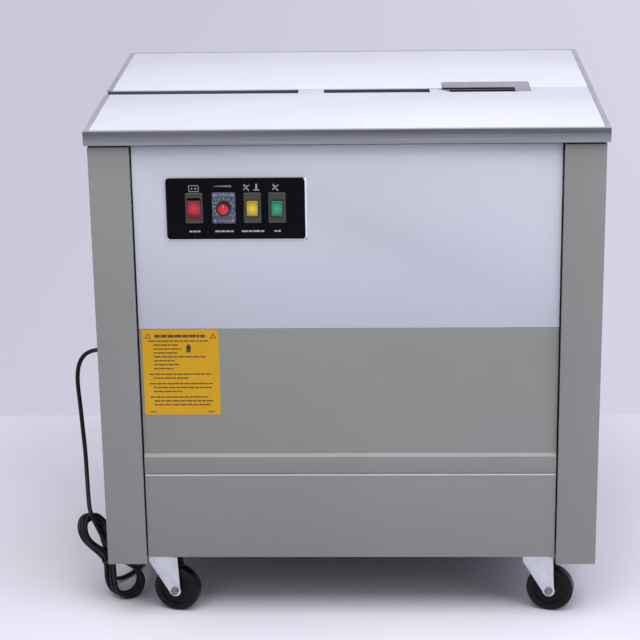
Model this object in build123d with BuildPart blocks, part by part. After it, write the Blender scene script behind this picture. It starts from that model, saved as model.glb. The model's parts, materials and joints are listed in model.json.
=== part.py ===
"""Semi automatic strapping machine: a cabinet on casters with a two-leaf table over a sealing head.

The origin is at the bottom centre of the machine, on the floor. +X is to the operator's right,
+Y goes from the front to the rear and +Z is up. All sizes are in millimetres.
"""
from build123d import *
import os
from math import cos, radians, sin, tan

os.makedirs("parts", exist_ok=True)

# Overall sizes
length = 780.0
depth = 600.0
height = 800.0
leg_bottom = 94.0           # lowest edge of the corner posts
frame_bottom = 105.0        # underside of the base frame, where the casters bolt on
running_fit = 0.05          # radial clearance of a shaft in its bore
free_gap = 0.3              # clearance between faces that move past each other

# Table covers, their steel edging and the seam between them
skin_gauge = 2.0
trim_gauge = 1.0
trim_height = 22.0
trim_lip = 8.0
seam_y = -14.0              # the seam also is the rear side of the strap channel
seam_gap = 0.6
channel_width = 30.0
channel_start = -81.0       # left stretch of the open channel ends here
tab_end = -40.0             # the tab of the front cover bridges the channel up to here
channel_end = 129.0
tab_gap = 3.0
cover_swing_y = 25.0        # goose-neck pivot, inward from the edge of the table
cover_swing_z = 42.0        # goose-neck pivot, below the top of the table
arm_reach = 20.0
arm_width = 8.0
arm_x = 270.0

# Corner posts, rings and panels
post_width = 62.0
post_gauge = 2.0
post_inset_x = 4.5
post_inset_y = 7.0
panel_gauge = 1.5
panel_inset = 6.5           # the panels lie this far behind the faces of the posts
side_inset = 4.5
panel_gap = 2.5
rail = 30.0                 # height and width of the folded channels of both rings
rail_gauge = 2.5
frame_top = 774.0
ring_top = 745.0
upper_panel_bottom = 486.5
lower_panel_bottom = 252.0
kick_panel_top = 247.0
rib_step = 3.5
floor_gauge = 2.0
rear_split = 556.0          # edge between the fixed rear panel and the door

# Sealing head under the slot
slot_x = (161.0, 265.0)
plate_x = (150.0, 288.5)
plate_rear = 31.5
plate_gauge = 3.0
head_x = (140.0, 300.0)
cheek = 8.0
beam_y = (-95.0, 45.0)      # front faces of the two beams that carry the head
beam_width = 20.0
cam_y = -29.0
cam_z = 650.0
cam_shaft_radius = 10.0
cam_radius = 28.0
cam_lift = 6.0

# Drive
motor_x, motor_z = -60.0, 640.0
motor_radius = 45.0
motor_pulley_radius = 20.0
worm_x, worm_z = 100.0, 618.0
worm_pulley_radius = 42.0
pulley_y = 45.0
pulley_width = 16.0
belt_width = 12.0
belt_gauge = 4.0
drive_shaft_radius = 6.0

# Strap reel
reel_x, reel_z = -110.0, 338.0
reel_radius = 200.0
reel_front = -43.0
reel_width = 180.0
core_radius = 98.0
coil_radius = 185.0
reel_shaft_radius = 12.0
flange_gauge = 3.0

# Control plate and its switches
control_x, control_z = (-271.0, -62.0), (630.0, 724.5)
control_gauge = 3.0
switch_z = 679.0
power_x, dial_x, yellow_x, green_x = -229.0, -184.5, -141.4, -104.4
bezel = (26.5, 47.0)
bezel_stand = 2.5
switch_body = (22.0, 40.0, 26.0)
rocker = (19.0, 31.0)
rocker_tilt = 8.0
cap = (17.0, 23.0)
cap_stand = 4.5
button_travel = 3.5
knob_radius = 10.5
knob_length = 9.0
dial_shaft_radius = 3.0

# Casters
wheel_radius = 37.5
wheel_width = 22.0
trail = 20.0
caster_inset = (80.5, 33.0)  # swivel axes, inward from the outer faces of the base ring
caster_plate = (60.0, 3.0)
fork_gap = 2.0
fork_gauge = 2.5
axle_radius = 4.0
headings = {"front_left": -14.0, "front_right": -14.0, "rear_left": 24.0, "rear_right": -38.0}

# Supply cord: its route is chosen by hand, from the gland to the hank and from the hank to the plug
cord_diameter = 7.0
gland_y, gland_z = -112.0, 392.0
gland_bore = 12.0
cord_down = [(-401, -112, 392), (-417, -112, 392), (-432, -113, 386), (-443, -114, 375), (-449, -116, 360),
             (-450, -121, 338), (-447, -130, 306), (-443, -142, 268), (-439, -158, 230), (-437, -178, 200),
             (-437, -198, 174), (-438, -210, 159)]
cord_back = [(-352, -140, 8), (-354, -120, 4), (-357, -98, 4), (-355, -75, 6), (-351, -53, 13)]
hank_top, hank_bottom = Vector(-438, -214, 157), Vector(-376, -196, 8)
hank_size = (54.0, 24.0)
hank_foot = Vector(-356, -171, 0.5)         # the lower turns fan out on the floor round this point
hank_foot_size = (31.0, 22.0)
plug_size = (36.0, 46.0, 26.0)

# Places that follow from the sizes above
post_x = length / 2 - post_inset_x
post_y = depth / 2 - post_inset_y
panel_y = post_y - panel_inset              # outer faces of the front and rear panels
ring_y = panel_y - panel_gauge
side_x = post_x - side_inset                # outer faces of the side panels
ring_x = side_x - panel_gauge
caster_x, caster_y = ring_x - caster_inset[0], ring_y - caster_inset[1]
panel_x = post_x - post_width - panel_gap
skin_bottom = height - skin_gauge
lip_bottom = height - trim_gauge            # the lip lies in a rebate, flush with the table
trim_bottom = height - trim_height
cover_x = length / 2 - trim_gauge
cover_y = depth / 2 - trim_gauge
channel_front = seam_y - channel_width
channel_y = seam_y - channel_width / 2
floor_top = frame_bottom + floor_gauge
control_face = -panel_y - control_gauge
head_top = height - plate_gauge
beam_z = ring_top - rail


# ---- Base frame: a welded ring of channels, open inwards, with a sheet floor -----------------
with BuildPart() as base_frame:
    with BuildSketch(Plane.XY.offset(frame_bottom)):
        Rectangle(2 * ring_x, 2 * ring_y)
        Rectangle(2 * (ring_x - rail), 2 * (ring_y - rail), mode=Mode.SUBTRACT)
    extrude(amount=rail)
    with BuildSketch(Plane.XY.offset(frame_bottom + rail_gauge)):
        Rectangle(2 * (ring_x - rail_gauge), 2 * (ring_y - rail_gauge))
    extrude(amount=rail - 2 * rail_gauge, mode=Mode.SUBTRACT)
    with BuildSketch(Plane.XY.offset(frame_bottom)):
        Rectangle(2 * (ring_x - rail), 2 * (ring_y - rail))
    extrude(amount=floor_gauge)
    with BuildSketch(Plane.XY.offset(frame_bottom)):
        with GridLocations(2 * caster_x, 2 * caster_y, 2, 2):
            Circle(axle_radius * 2)
    extrude(amount=floor_gauge, mode=Mode.SUBTRACT)
base_frame.part.label = "base_frame"
export_step(base_frame.part, "parts/base_frame.step")

# ---- Corner posts: folded sheet, open inwards, with a return lip on each leg ------------------
for corner, side, end in (("front_left", -1, -1), ("front_right", 1, -1),
                          ("rear_left", -1, 1), ("rear_right", 1, 1)):
    lip_y = post_y - ring_y
    lip_x = post_x - ring_x
    with BuildPart() as post:
        with BuildSketch(Plane.XY.offset(leg_bottom)):
            with Locations((side * (post_x - post_width / 2), end * (post_y - post_gauge / 2))):
                Rectangle(post_width, post_gauge)
            with Locations((side * (post_x - post_gauge / 2), end * (post_y - post_width / 2))):
                Rectangle(post_gauge, post_width)
            with Locations((side * (post_x - post_width + post_gauge / 2), end * (post_y - lip_y / 2))):
                Rectangle(post_gauge, lip_y)
            with Locations((side * (post_x - lip_x / 2), end * (post_y - post_width + post_gauge / 2))):
                Rectangle(lip_x, post_gauge)
        extrude(amount=frame_top - leg_bottom)
        outer_edge = post.edges().filter_by(Axis.Z).sort_by_distance((side * post_x, end * post_y, 0))[0]
        fillet(outer_edge, radius=post_gauge * 0.75)
    post.part.label = f"post_{corner}"
    export_step(post.part, f"parts/post_{corner}.step")

# ---- Top frame: ring, two beams for the head and three saddles under the strap channel --------
saddle_x = (-360.0, -110.0, 20.0)
channel_gauge = 1.2
channel_floor = skin_bottom - 12.0
with BuildPart() as top_frame:
    with BuildSketch(Plane.XY.offset(beam_z)):
        Rectangle(2 * ring_x, 2 * ring_y)
        Rectangle(2 * (ring_x - rail), 2 * (ring_y - rail), mode=Mode.SUBTRACT)
    extrude(amount=rail)
    with BuildSketch(Plane.XY.offset(beam_z + rail_gauge)):
        Rectangle(2 * (ring_x - rail_gauge), 2 * (ring_y - rail_gauge))
    extrude(amount=rail - 2 * rail_gauge, mode=Mode.SUBTRACT)
    with BuildSketch(Plane.XY.offset(beam_z)):
        for front in beam_y:
            with Locations((0, front + beam_width / 2)):
                Rectangle(2 * ring_x - rail_gauge, beam_width)
    extrude(amount=rail)
    with BuildSketch(Plane.XY.offset(ring_top)):
        for x in saddle_x:
            with Locations((x, (beam_y[0] + beam_y[1] + beam_width) / 2)):
                Rectangle(beam_width, beam_y[1] + beam_width - beam_y[0])
    extrude(amount=channel_floor - channel_gauge - ring_top)
top_frame.part.label = "top_frame"
export_step(top_frame.part, "parts/top_frame.step")

# ---- Upper front panel, with the cut-out behind the control plate -----------------------------
with BuildPart() as upper_front_panel:
    with BuildSketch(Plane.XZ.offset(ring_y)):
        with Locations((0, (frame_top + upper_panel_bottom) / 2)):
            Rectangle(2 * panel_x, frame_top - upper_panel_bottom)
        with Locations(((control_x[0] + control_x[1]) / 2, switch_z)):
            Rectangle(control_x[1] - control_x[0] - 20, bezel[1] - 2, mode=Mode.SUBTRACT)
    extrude(amount=panel_gauge)
    with BuildSketch(Plane.XZ.offset(ring_y)):
        for z in (upper_panel_bottom + panel_gauge / 2, frame_top - panel_gauge / 2):
            with Locations((0, z)):
                Rectangle(2 * panel_x, panel_gauge)
    extrude(amount=-3)
upper_front_panel.part.label = "upper_front_panel"
export_step(upper_front_panel.part, "parts/upper_front_panel.step")

# ---- Lower front panel: its foot is folded forwards into a stiffening rib ---------------------
rib_top = 281.0
lower_panel_top = upper_panel_bottom - 0.6
rib_edge = 276.0
with BuildPart() as lower_front_panel:
    with BuildSketch(Plane.YZ.offset(-panel_x)):
        with BuildLine():
            Polyline((-ring_y, lower_panel_top), (-panel_y, lower_panel_top),
                     (-panel_y, rib_top), (-panel_y - rib_step, rib_edge),
                     (-panel_y - rib_step, lower_panel_bottom), (-ring_y, lower_panel_bottom),
                     (-ring_y, lower_panel_bottom + panel_gauge),
                     (-panel_y - rib_step + panel_gauge, lower_panel_bottom + panel_gauge),
                     (-panel_y - rib_step + panel_gauge, rib_edge), (-ring_y, rib_top), close=True)
        make_face()
    extrude(amount=2 * panel_x)
lower_front_panel.part.label = "lower_front_panel"
export_step(lower_front_panel.part, "parts/lower_front_panel.step")

# ---- Kick panel: closes the foot of the front, with a rolled top edge -------------------------
with BuildPart() as kick_panel:
    with BuildSketch(Plane.YZ.offset(-panel_x)):
        with BuildLine():
            Polyline((-ring_y, frame_bottom), (-panel_y - rib_step, frame_bottom),
                     (-panel_y - rib_step, kick_panel_top), (-ring_y, kick_panel_top),
                     (-ring_y, kick_panel_top - panel_gauge),
                     (-panel_y - rib_step + panel_gauge, kick_panel_top - panel_gauge),
                     (-panel_y - rib_step + panel_gauge, frame_bottom + panel_gauge),
                     (-ring_y, frame_bottom + panel_gauge), close=True)
        make_face()
    extrude(amount=2 * panel_x)
    rolled = kick_panel.edges().filter_by(Axis.X).sort_by_distance((0, -panel_y - rib_step, kick_panel_top))[0]
    fillet(rolled, radius=2.5)
kick_panel.part.label = "kick_panel"
export_step(kick_panel.part, "parts/kick_panel.step")

# ---- Side panels, with vent slots; the left one carries the cord gland ------------------------
slot_rows, slot_pitch, slot_length, slot_height = 9, 14.0, 150.0, 4.5
side_span = 2 * (post_y - post_width - panel_gap)
for side_name, side in (("left", -1), ("right", 1)):
    inner = side * ring_x
    with BuildPart() as side_panel:
        with BuildSketch(Plane.YZ.offset(inner)):
            with Locations((0, (frame_top + frame_bottom) / 2)):
                Rectangle(side_span, frame_top - frame_bottom)
            with Locations((0, 620)):
                with GridLocations(side_span - 2 * slot_length, slot_pitch, 2, slot_rows):
                    SlotOverall(slot_length, slot_height, mode=Mode.SUBTRACT)
            if side < 0:
                with Locations((gland_y, gland_z)):
                    Circle(gland_bore / 2 + free_gap, mode=Mode.SUBTRACT)
        extrude(amount=side * panel_gauge)
    side_panel.part.label = f"{side_name}_side_panel"
    export_step(side_panel.part, f"parts/{side_name}_side_panel.step")

# ---- Rear: a fixed upper panel and a hinged door for loading strap ----------------------------
with BuildPart() as rear_upper_panel:
    with BuildSketch(Plane.XZ.offset(-ring_y)):
        with Locations((0, (frame_top + rear_split) / 2)):
            Rectangle(2 * panel_x, frame_top - rear_split)
    extrude(amount=-panel_gauge)
rear_upper_panel.part.label = "rear_upper_panel"
export_step(rear_upper_panel.part, "parts/rear_upper_panel.step")

door_gap = 4.0
door_face = panel_y + free_gap
door_hinge_x, door_hinge_y = panel_x - 3.0, panel_y + 4.5
barrel_radius = 3.2
pin_radius = 1.5
knuckle = 24.0
hinge_heights = (190.0, 470.0)
door_knob_radius = 9.0
with BuildPart() as rear_door:
    with BuildSketch(Plane.XZ.offset(-door_face)):
        with Locations((0, (rear_split - door_gap + frame_bottom) / 2)):
            Rectangle(2 * panel_x - 3, rear_split - door_gap - frame_bottom)
    extrude(amount=panel_gauge)
    with BuildSketch(Plane.XZ.offset(-door_face)):
        with Locations((-panel_x + 40, 380)):
            Circle(door_knob_radius * 0.6)
    extrude(amount=-7)
    with BuildSketch(Plane.XZ.offset(-door_face - 6)):
        with Locations((-panel_x + 40, 380)):
            Circle(door_knob_radius)
    extrude(amount=-5, taper=10)
    for z in hinge_heights:
        with BuildSketch(Plane.XY.offset(z)):
            with Locations((door_hinge_x, door_hinge_y)):
                Circle(barrel_radius)
            with Locations((door_hinge_x - barrel_radius / 2, (door_face + door_hinge_y) / 2)):
                Rectangle(barrel_radius, door_hinge_y - door_face)
            with Locations((door_hinge_x, door_hinge_y)):
                Circle(pin_radius + running_fit, mode=Mode.SUBTRACT)
        extrude(amount=knuckle)
rear_door.part.label = "rear_door"
export_step(rear_door.part, "parts/rear_door.step")

# ---- Hinge hardware on the frame: the pins of the door and the pivots of both covers ----------
pivot_radius = 4.0
boss_radius = 7.0
pivot_z = height - cover_swing_z
pivot_y = depth / 2 - cover_swing_y
bracket_gauge = 4.0
with BuildPart() as hinge_brackets:
    for z in hinge_heights:
        with BuildSketch(Plane.XY.offset(z - knuckle)):
            with Locations((door_hinge_x, door_hinge_y)):
                Circle(pin_radius)
        extrude(amount=3 * knuckle)
        for foot in (z - knuckle, z + knuckle + free_gap):
            with BuildSketch(Plane.XY.offset(foot)):
                with Locations((door_hinge_x, door_hinge_y)):
                    Circle(barrel_radius)
                with Locations(((door_hinge_x + panel_x + panel_gap) / 2, door_hinge_y)):
                    Rectangle(panel_x + panel_gap - door_hinge_x, 2)
            extrude(amount=knuckle - free_gap)
    for end in (-1, 1):
        for x in (-arm_x, arm_x):
            with BuildSketch(Plane.YZ.offset(x - arm_width / 2 - free_gap - bracket_gauge)):
                with Locations((end * pivot_y, pivot_z)):
                    Circle(boss_radius)
                with Locations((end * (pivot_y - 6), (pivot_z + ring_top) / 2)):
                    Rectangle(12, pivot_z - ring_top)
            extrude(amount=bracket_gauge)
            with BuildSketch(Plane.YZ.offset(x - arm_width / 2 - free_gap)):
                with Locations((end * pivot_y, pivot_z)):
                    Circle(pivot_radius)
            extrude(amount=arm_width + 2 * free_gap)
hinge_brackets.part.label = "hinge_brackets"
export_step(hinge_brackets.part, "parts/hinge_brackets.step")


# ---- Table covers: white sheet trays on goose-neck arms ---------------------------------------
def seam_outline(overlap):
    """Corners of the space that the front cover leaves free along the seam."""
    front = channel_front - overlap
    bump = seam_y - 6
    return [[(-length, front), (channel_start, front), (channel_start, seam_y + 1), (-length, seam_y + 1)],
            [(tab_end, front), (channel_end, front), (channel_end, seam_y + 1), (tab_end, seam_y + 1)],
            [(channel_end - 1, bump), (channel_end + 12, bump), (slot_x[0], front), (plate_x[1] + 1, front),
             (plate_x[1] + 1, seam_y + 1), (channel_end - 1, seam_y + 1)],
            [(channel_start - 1, seam_y - tab_gap), (tab_end + 1, seam_y - tab_gap),
             (tab_end + 1, seam_y + 1), (channel_start - 1, seam_y + 1)]]


def gooseneck(end, x):
    """Side view of one arm, from its pivot up to the skin of the cover at that end."""
    neck = end * (pivot_y - arm_reach)
    with BuildSketch(Plane.YZ.offset(x - arm_width / 2)) as arm:
        with Locations((end * pivot_y, pivot_z)):
            Circle(boss_radius - 1)
        with Locations((end * (pivot_y - arm_reach / 2), pivot_z)):
            Rectangle(arm_reach, 8)
        with Locations((neck, (pivot_z - 4 + skin_bottom) / 2)):
            Rectangle(8, skin_bottom - pivot_z + 4)
        with Locations((end * (pivot_y - arm_reach - 20), skin_bottom - 2)):
            Rectangle(40, 4)
        with Locations((end * pivot_y, pivot_z)):
            Circle(pivot_radius + running_fit, mode=Mode.SUBTRACT)
    return arm.sketch


def lip_rebate():
    """The rim of the table that is cut down for the lip of the edging."""
    with BuildSketch(Plane.XY.offset(lip_bottom)) as rim:
        Rectangle(length, depth)
        Rectangle(length - 2 * trim_lip - 0.4, depth - 2 * trim_lip - 0.4, mode=Mode.SUBTRACT)
    return rim.sketch


front_edge = seam_y - seam_gap / 2
rear_edge = seam_y + seam_gap / 2
with BuildPart() as front_table_cover:
    with BuildSketch(Plane.XY.offset(skin_bottom)):
        with Locations((0, (front_edge - cover_y) / 2)):
            Rectangle(2 * cover_x, cover_y + front_edge)
        for outline in seam_outline(0.5):
            with BuildLine():
                Polyline(outline, close=True)
            make_face(mode=Mode.SUBTRACT)
    extrude(amount=skin_gauge)
    extrude(lip_rebate(), amount=trim_gauge, mode=Mode.SUBTRACT)
    with BuildSketch(Plane.XY.offset(trim_bottom + 1)):
        with Locations((0, (channel_front - 0.5 - cover_y) / 2)):
            Rectangle(2 * cover_x, cover_y + channel_front - 0.5)
        with Locations((0, skin_gauge + (channel_front - cover_y) / 2)):
            Rectangle(2 * (cover_x - skin_gauge), cover_y + channel_front, mode=Mode.SUBTRACT)
    extrude(amount=skin_bottom - trim_bottom - 1)
    for x in (-arm_x, arm_x):
        extrude(gooseneck(-1, x), amount=arm_width)
front_table_cover.part.label = "front_table_cover"
export_step(front_table_cover.part, "parts/front_table_cover.step")

with BuildPart() as rear_table_cover:
    with BuildSketch(Plane.XY.offset(skin_bottom)):
        with Locations((0, (rear_edge + cover_y) / 2)):
            Rectangle(2 * cover_x, cover_y - rear_edge)
        with Locations(((plate_x[0] + plate_x[1]) / 2, seam_y)):
            Rectangle(plate_x[1] - plate_x[0] + 2, 2 * (plate_rear + 1 - seam_y), mode=Mode.SUBTRACT)
    extrude(amount=skin_gauge)
    extrude(lip_rebate(), amount=trim_gauge, mode=Mode.SUBTRACT)
    with BuildSketch(Plane.XY.offset(trim_bottom + 1)):
        with Locations((0, (rear_edge + cover_y) / 2)):
            Rectangle(2 * cover_x, cover_y - rear_edge)
        with Locations((0, (rear_edge + cover_y) / 2 - skin_gauge)):
            Rectangle(2 * (cover_x - skin_gauge), cover_y - rear_edge, mode=Mode.SUBTRACT)
    extrude(amount=skin_bottom - trim_bottom - 1)
    for x in (-arm_x, arm_x):
        extrude(gooseneck(1, x), amount=arm_width)
rear_table_cover.part.label = "rear_table_cover"
export_step(rear_table_cover.part, "parts/rear_table_cover.step")

# ---- Stainless edging: an angle round three sides of each cover, its lip over the skin --------
with BuildPart() as front_table_trim:
    with BuildSketch(Plane.XY.offset(trim_bottom)):
        with Locations((0, (channel_front - 0.5 - depth / 2) / 2)):
            Rectangle(length, depth / 2 + channel_front - 0.5)
        with Locations((0, trim_gauge + (channel_front - depth / 2) / 2)):
            Rectangle(2 * cover_x, depth / 2 + channel_front, mode=Mode.SUBTRACT)
    extrude(amount=trim_height)
    with BuildSketch(Plane.XY.offset(lip_bottom)):
        with Locations((0, (channel_front - 0.5 - depth / 2) / 2)):
            Rectangle(length, depth / 2 + channel_front - 0.5)
        with Locations((0, trim_lip + (channel_front - depth / 2) / 2)):
            Rectangle(length - 2 * trim_lip, depth / 2 + channel_front, mode=Mode.SUBTRACT)
    extrude(amount=trim_gauge)
    with BuildSketch(Plane.XY.offset(trim_bottom)):
        with Locations((length / 2 - trim_gauge / 2, (channel_front - 0.5 + front_edge) / 2)):
            Rectangle(trim_gauge, front_edge - channel_front + 0.5)
    extrude(amount=trim_height)
    with BuildSketch(Plane.XY.offset(lip_bottom)):
        with Locations((length / 2 - trim_lip / 2, (channel_front - 0.5 + front_edge) / 2)):
            Rectangle(trim_lip, front_edge - channel_front + 0.5)
    extrude(amount=trim_gauge)
front_table_trim.part.label = "front_table_trim"
export_step(front_table_trim.part, "parts/front_table_trim.step")

with BuildPart() as rear_table_trim:
    with BuildSketch(Plane.XY.offset(trim_bottom)):
        with Locations((0, (rear_edge + depth / 2) / 2)):
            Rectangle(length, depth / 2 - rear_edge)
        with Locations((0, (rear_edge + depth / 2) / 2 - trim_gauge)):
            Rectangle(2 * cover_x, depth / 2 - rear_edge, mode=Mode.SUBTRACT)
    extrude(amount=trim_height)
    with BuildSketch(Plane.XY.offset(lip_bottom)):
        with Locations((0, (rear_edge + depth / 2) / 2)):
            Rectangle(length, depth / 2 - rear_edge)
        with Locations((0, (rear_edge + depth / 2) / 2 - trim_lip)):
            Rectangle(length - 2 * trim_lip, depth / 2 - rear_edge, mode=Mode.SUBTRACT)
    extrude(amount=trim_gauge)
rear_table_trim.part.label = "rear_table_trim"
export_step(rear_table_trim.part, "parts/rear_table_trim.step")

# ---- Strap channel: folded steel gutter under the seam, its flanges carry the covers ----------
flange = 12.0
flange_top = skin_bottom - free_gap
with BuildPart() as strap_channel:
    with BuildSketch(Plane.YZ.offset(-cover_x)):
        half = channel_width / 2 - free_gap
        with Locations((channel_y, channel_floor - channel_gauge / 2)):
            Rectangle(2 * half, channel_gauge)
        for end in (-1, 1):
            with Locations((channel_y + end * (half - channel_gauge / 2), (channel_floor + flange_top) / 2)):
                Rectangle(channel_gauge, flange_top - channel_floor)
            with Locations((channel_y + end * (half + flange / 2), flange_top - channel_gauge / 2)):
                Rectangle(flange, channel_gauge)
    extrude(amount=cover_x + channel_end)
    with BuildSketch(Plane.XY.offset(trim_bottom)):
        for end in (-1, 1):
            with Locations((-cover_x, channel_y + end * (half + flange / 2 + 0.01))):
                Rectangle(2 * (skin_gauge + 2), flange + 0.02)
    extrude(amount=trim_height, mode=Mode.SUBTRACT)
strap_channel.part.label = "strap_channel"
export_step(strap_channel.part, "parts/strap_channel.step")

# ---- Slide plate: the steel face of the sealing head, open towards the operator ---------------
with BuildPart() as slide_plate:
    with BuildSketch(Plane.XY.offset(head_top)):
        with Locations(((plate_x[0] + plate_x[1]) / 2, (seam_y + 2 + plate_rear) / 2)):
            Rectangle(plate_x[1] - plate_x[0], plate_rear - seam_y - 2)
        with Locations(((slot_x[1] + plate_x[1]) / 2, (channel_front + plate_rear) / 2)):
            Rectangle(plate_x[1] - slot_x[1], plate_rear - channel_front)
    extrude(amount=plate_gauge)
    fillet(slide_plate.edges().filter_by(Axis.Z).group_by(Axis.Y)[-1], radius=2)
slide_plate.part.label = "slide_plate"
export_step(slide_plate.part, "parts/slide_plate.step")

# ---- Head frame: top plate, two cheeks, guide block, feet on the beams and the roller plate ---
guide_z = (722.0, 752.0)
gripper_x = (176.0, 213.0, 250.0)
gripper = (22.0, 20.0)
head_front, head_rear = -72.0, 44.0
feed_x, feed_z, feed_radius = 334.0, 690.0, 22.0
pinch_radius = 16.0
roller_pin_radius = 5.0
roller_width = 16.0
roller_plate_y = channel_y - roller_width / 2 - 8
pinch_x = feed_x
pinch_z = feed_z - feed_radius - pinch_radius - free_gap
with BuildPart() as head_frame:
    with BuildSketch(Plane.XY.offset(head_top - 8)):
        with Locations(((head_x[0] + head_x[1]) / 2, (head_front + head_rear) / 2)):
            Rectangle(head_x[1] - head_x[0], head_rear - head_front)
        with Locations(((slot_x[0] + slot_x[1]) / 2, channel_y)):
            Rectangle(slot_x[1] - slot_x[0], channel_width, mode=Mode.SUBTRACT)
    extrude(amount=8)
    for x in (head_x[0], head_x[1] - cheek):
        with BuildSketch(Plane.YZ.offset(x)):
            with Locations(((head_front + head_rear) / 2, (head_top - 8 + 600) / 2)):
                Rectangle(head_rear - head_front, head_top - 8 - 600)
            with Locations((cam_y, cam_z)):
                Circle(cam_shaft_radius + running_fit, mode=Mode.SUBTRACT)
        extrude(amount=cheek)
    with BuildSketch(Plane.XY.offset(guide_z[0])):
        with Locations(((head_x[0] + head_x[1]) / 2, channel_y)):
            Rectangle(head_x[1] - head_x[0] - cheek, 2 * gripper[1])
        with Locations([(x, channel_y) for x in gripper_x]):
            Rectangle(gripper[0] + 2 * free_gap, gripper[1] + 2 * free_gap, mode=Mode.SUBTRACT)
    extrude(amount=guide_z[1] - guide_z[0])
    with BuildSketch(Plane.XY.offset(ring_top)):
        for x in (head_x[0], head_x[1] - cheek):
            with Locations((x + cheek / 2, (beam_y[0] + beam_y[1] + beam_width) / 2)):
                Rectangle(26, beam_y[1] + beam_width - beam_y[0])
    extrude(amount=8)
    with BuildSketch(Plane.XZ.offset(-roller_plate_y)):
        with Locations(((head_x[1] - cheek / 2 + feed_x + 16) / 2, (feed_z + pinch_z) / 2)):
            Rectangle(feed_x + 16 - head_x[1] + cheek / 2, feed_z - pinch_z + 40)
    extrude(amount=6)
    with BuildSketch(Plane.XZ.offset(-roller_plate_y)):
        with Locations((feed_x, feed_z), (pinch_x, pinch_z)):
            Circle(roller_pin_radius)
    extrude(amount=-roller_width - 14)
head_frame.part.label = "head_frame"
export_step(head_frame.part, "parts/head_frame.step")

# ---- Grippers and press: three hardened pushers, their heads resting on the guide block -------
head_height = 18.0
with BuildPart() as gripper_set:
    with BuildSketch(Plane.XY.offset(cam_z + cam_radius + cam_lift + 1)):
        with Locations([(x, channel_y) for x in gripper_x]):
            Rectangle(*gripper)
    extrude(amount=guide_z[1] - cam_z - cam_radius - cam_lift - 1)
    with BuildSketch(Plane.XY.offset(guide_z[1])):
        with Locations([(x, channel_y) for x in gripper_x]):
            Rectangle(gripper[0] + 8, gripper[1] + 4)
    extrude(amount=head_height)
gripper_set.part.label = "gripper_set"
export_step(gripper_set.part, "parts/gripper_set.step")

# ---- Cam shaft with one cam under each pusher --------------------------------------------------
gearbox_x = (66.0, 134.0)
with BuildPart() as cam_shaft:
    with BuildSketch(Plane.YZ.offset(gearbox_x[0] + 14)):
        with Locations((cam_y, cam_z)):
            Circle(cam_shaft_radius)
    extrude(amount=head_x[1] + 10 - gearbox_x[0] - 14)
    for index, x in enumerate(gripper_x):
        turn = radians(120 * index)
        with BuildSketch(Plane.YZ.offset(x - 8)):
            with Locations((cam_y + cam_lift * cos(turn), cam_z + cam_lift * sin(turn))):
                Circle(cam_radius)
        extrude(amount=16)
    with BuildSketch(Plane.YZ.offset(head_x[1] + 2)):
        with Locations((cam_y, cam_z)):
            Circle(cam_shaft_radius + 5)
    extrude(amount=8)
cam_shaft.part.label = "cam_shaft"
export_step(cam_shaft.part, "parts/cam_shaft.step")

# ---- Worm gearbox, hung under the beams ---------------------------------------------------------
gearbox_y = (-68.0, 30.0)
with BuildPart() as gearbox:
    with BuildSketch(Plane.XY.offset(596)):
        with Locations(((gearbox_x[0] + gearbox_x[1]) / 2, (gearbox_y[0] + gearbox_y[1]) / 2)):
            RectangleRounded(gearbox_x[1] - gearbox_x[0], gearbox_y[1] - gearbox_y[0], 8)
    extrude(amount=beam_z - 8 - 596)
    with BuildSketch(Plane.XY.offset(beam_z - 8)):
        with Locations(((gearbox_x[0] + gearbox_x[1]) / 2, (beam_y[0] + beam_y[1] + beam_width) / 2)):
            Rectangle(gearbox_x[1] - gearbox_x[0], beam_y[1] + beam_width - beam_y[0])
    extrude(amount=8)
    with BuildSketch(Plane.YZ.offset(gearbox_x[0] + 12)):
        with Locations((cam_y, cam_z)):
            Circle(cam_shaft_radius + running_fit)
    extrude(amount=gearbox_x[1], mode=Mode.SUBTRACT)
    with BuildSketch(Plane.XZ.offset(-gearbox_y[1])):
        with Locations((worm_x, worm_z)):
            Circle(drive_shaft_radius + running_fit)
    extrude(amount=30, mode=Mode.SUBTRACT)
gearbox.part.label = "gearbox"
export_step(gearbox.part, "parts/gearbox.step")

# ---- Drive motor, hung from its mounting plate --------------------------------------------------
motor_y = (-70.0, 36.0)
with BuildPart() as drive_motor:
    with BuildSketch(Plane.XZ.offset(-motor_y[1])):
        with Locations((motor_x, motor_z)):
            Circle(motor_radius)
    extrude(amount=motor_y[1] - motor_y[0])
    fillet(drive_motor.edges().filter_by(GeomType.CIRCLE), radius=5)
    with BuildSketch(Plane.XY.offset(motor_z + motor_radius - 12)):
        with Locations((motor_x, (motor_y[0] + motor_y[1]) / 2)):
            Rectangle(56, 80)
    extrude(amount=beam_z - 6 - motor_z - motor_radius + 12)
    with BuildSketch(Plane.XY.offset(beam_z - 6)):
        with Locations((motor_x, (beam_y[0] + beam_y[1] + beam_width) / 2)):
            Rectangle(90, beam_y[1] + beam_width - beam_y[0])
    extrude(amount=6)
    with BuildSketch(Plane.XZ.offset(-motor_y[1])):
        with Locations((motor_x, motor_z)):
            Circle(drive_shaft_radius + running_fit)
    extrude(amount=20, mode=Mode.SUBTRACT)
drive_motor.part.label = "drive_motor"
export_step(drive_motor.part, "parts/drive_motor.step")

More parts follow.
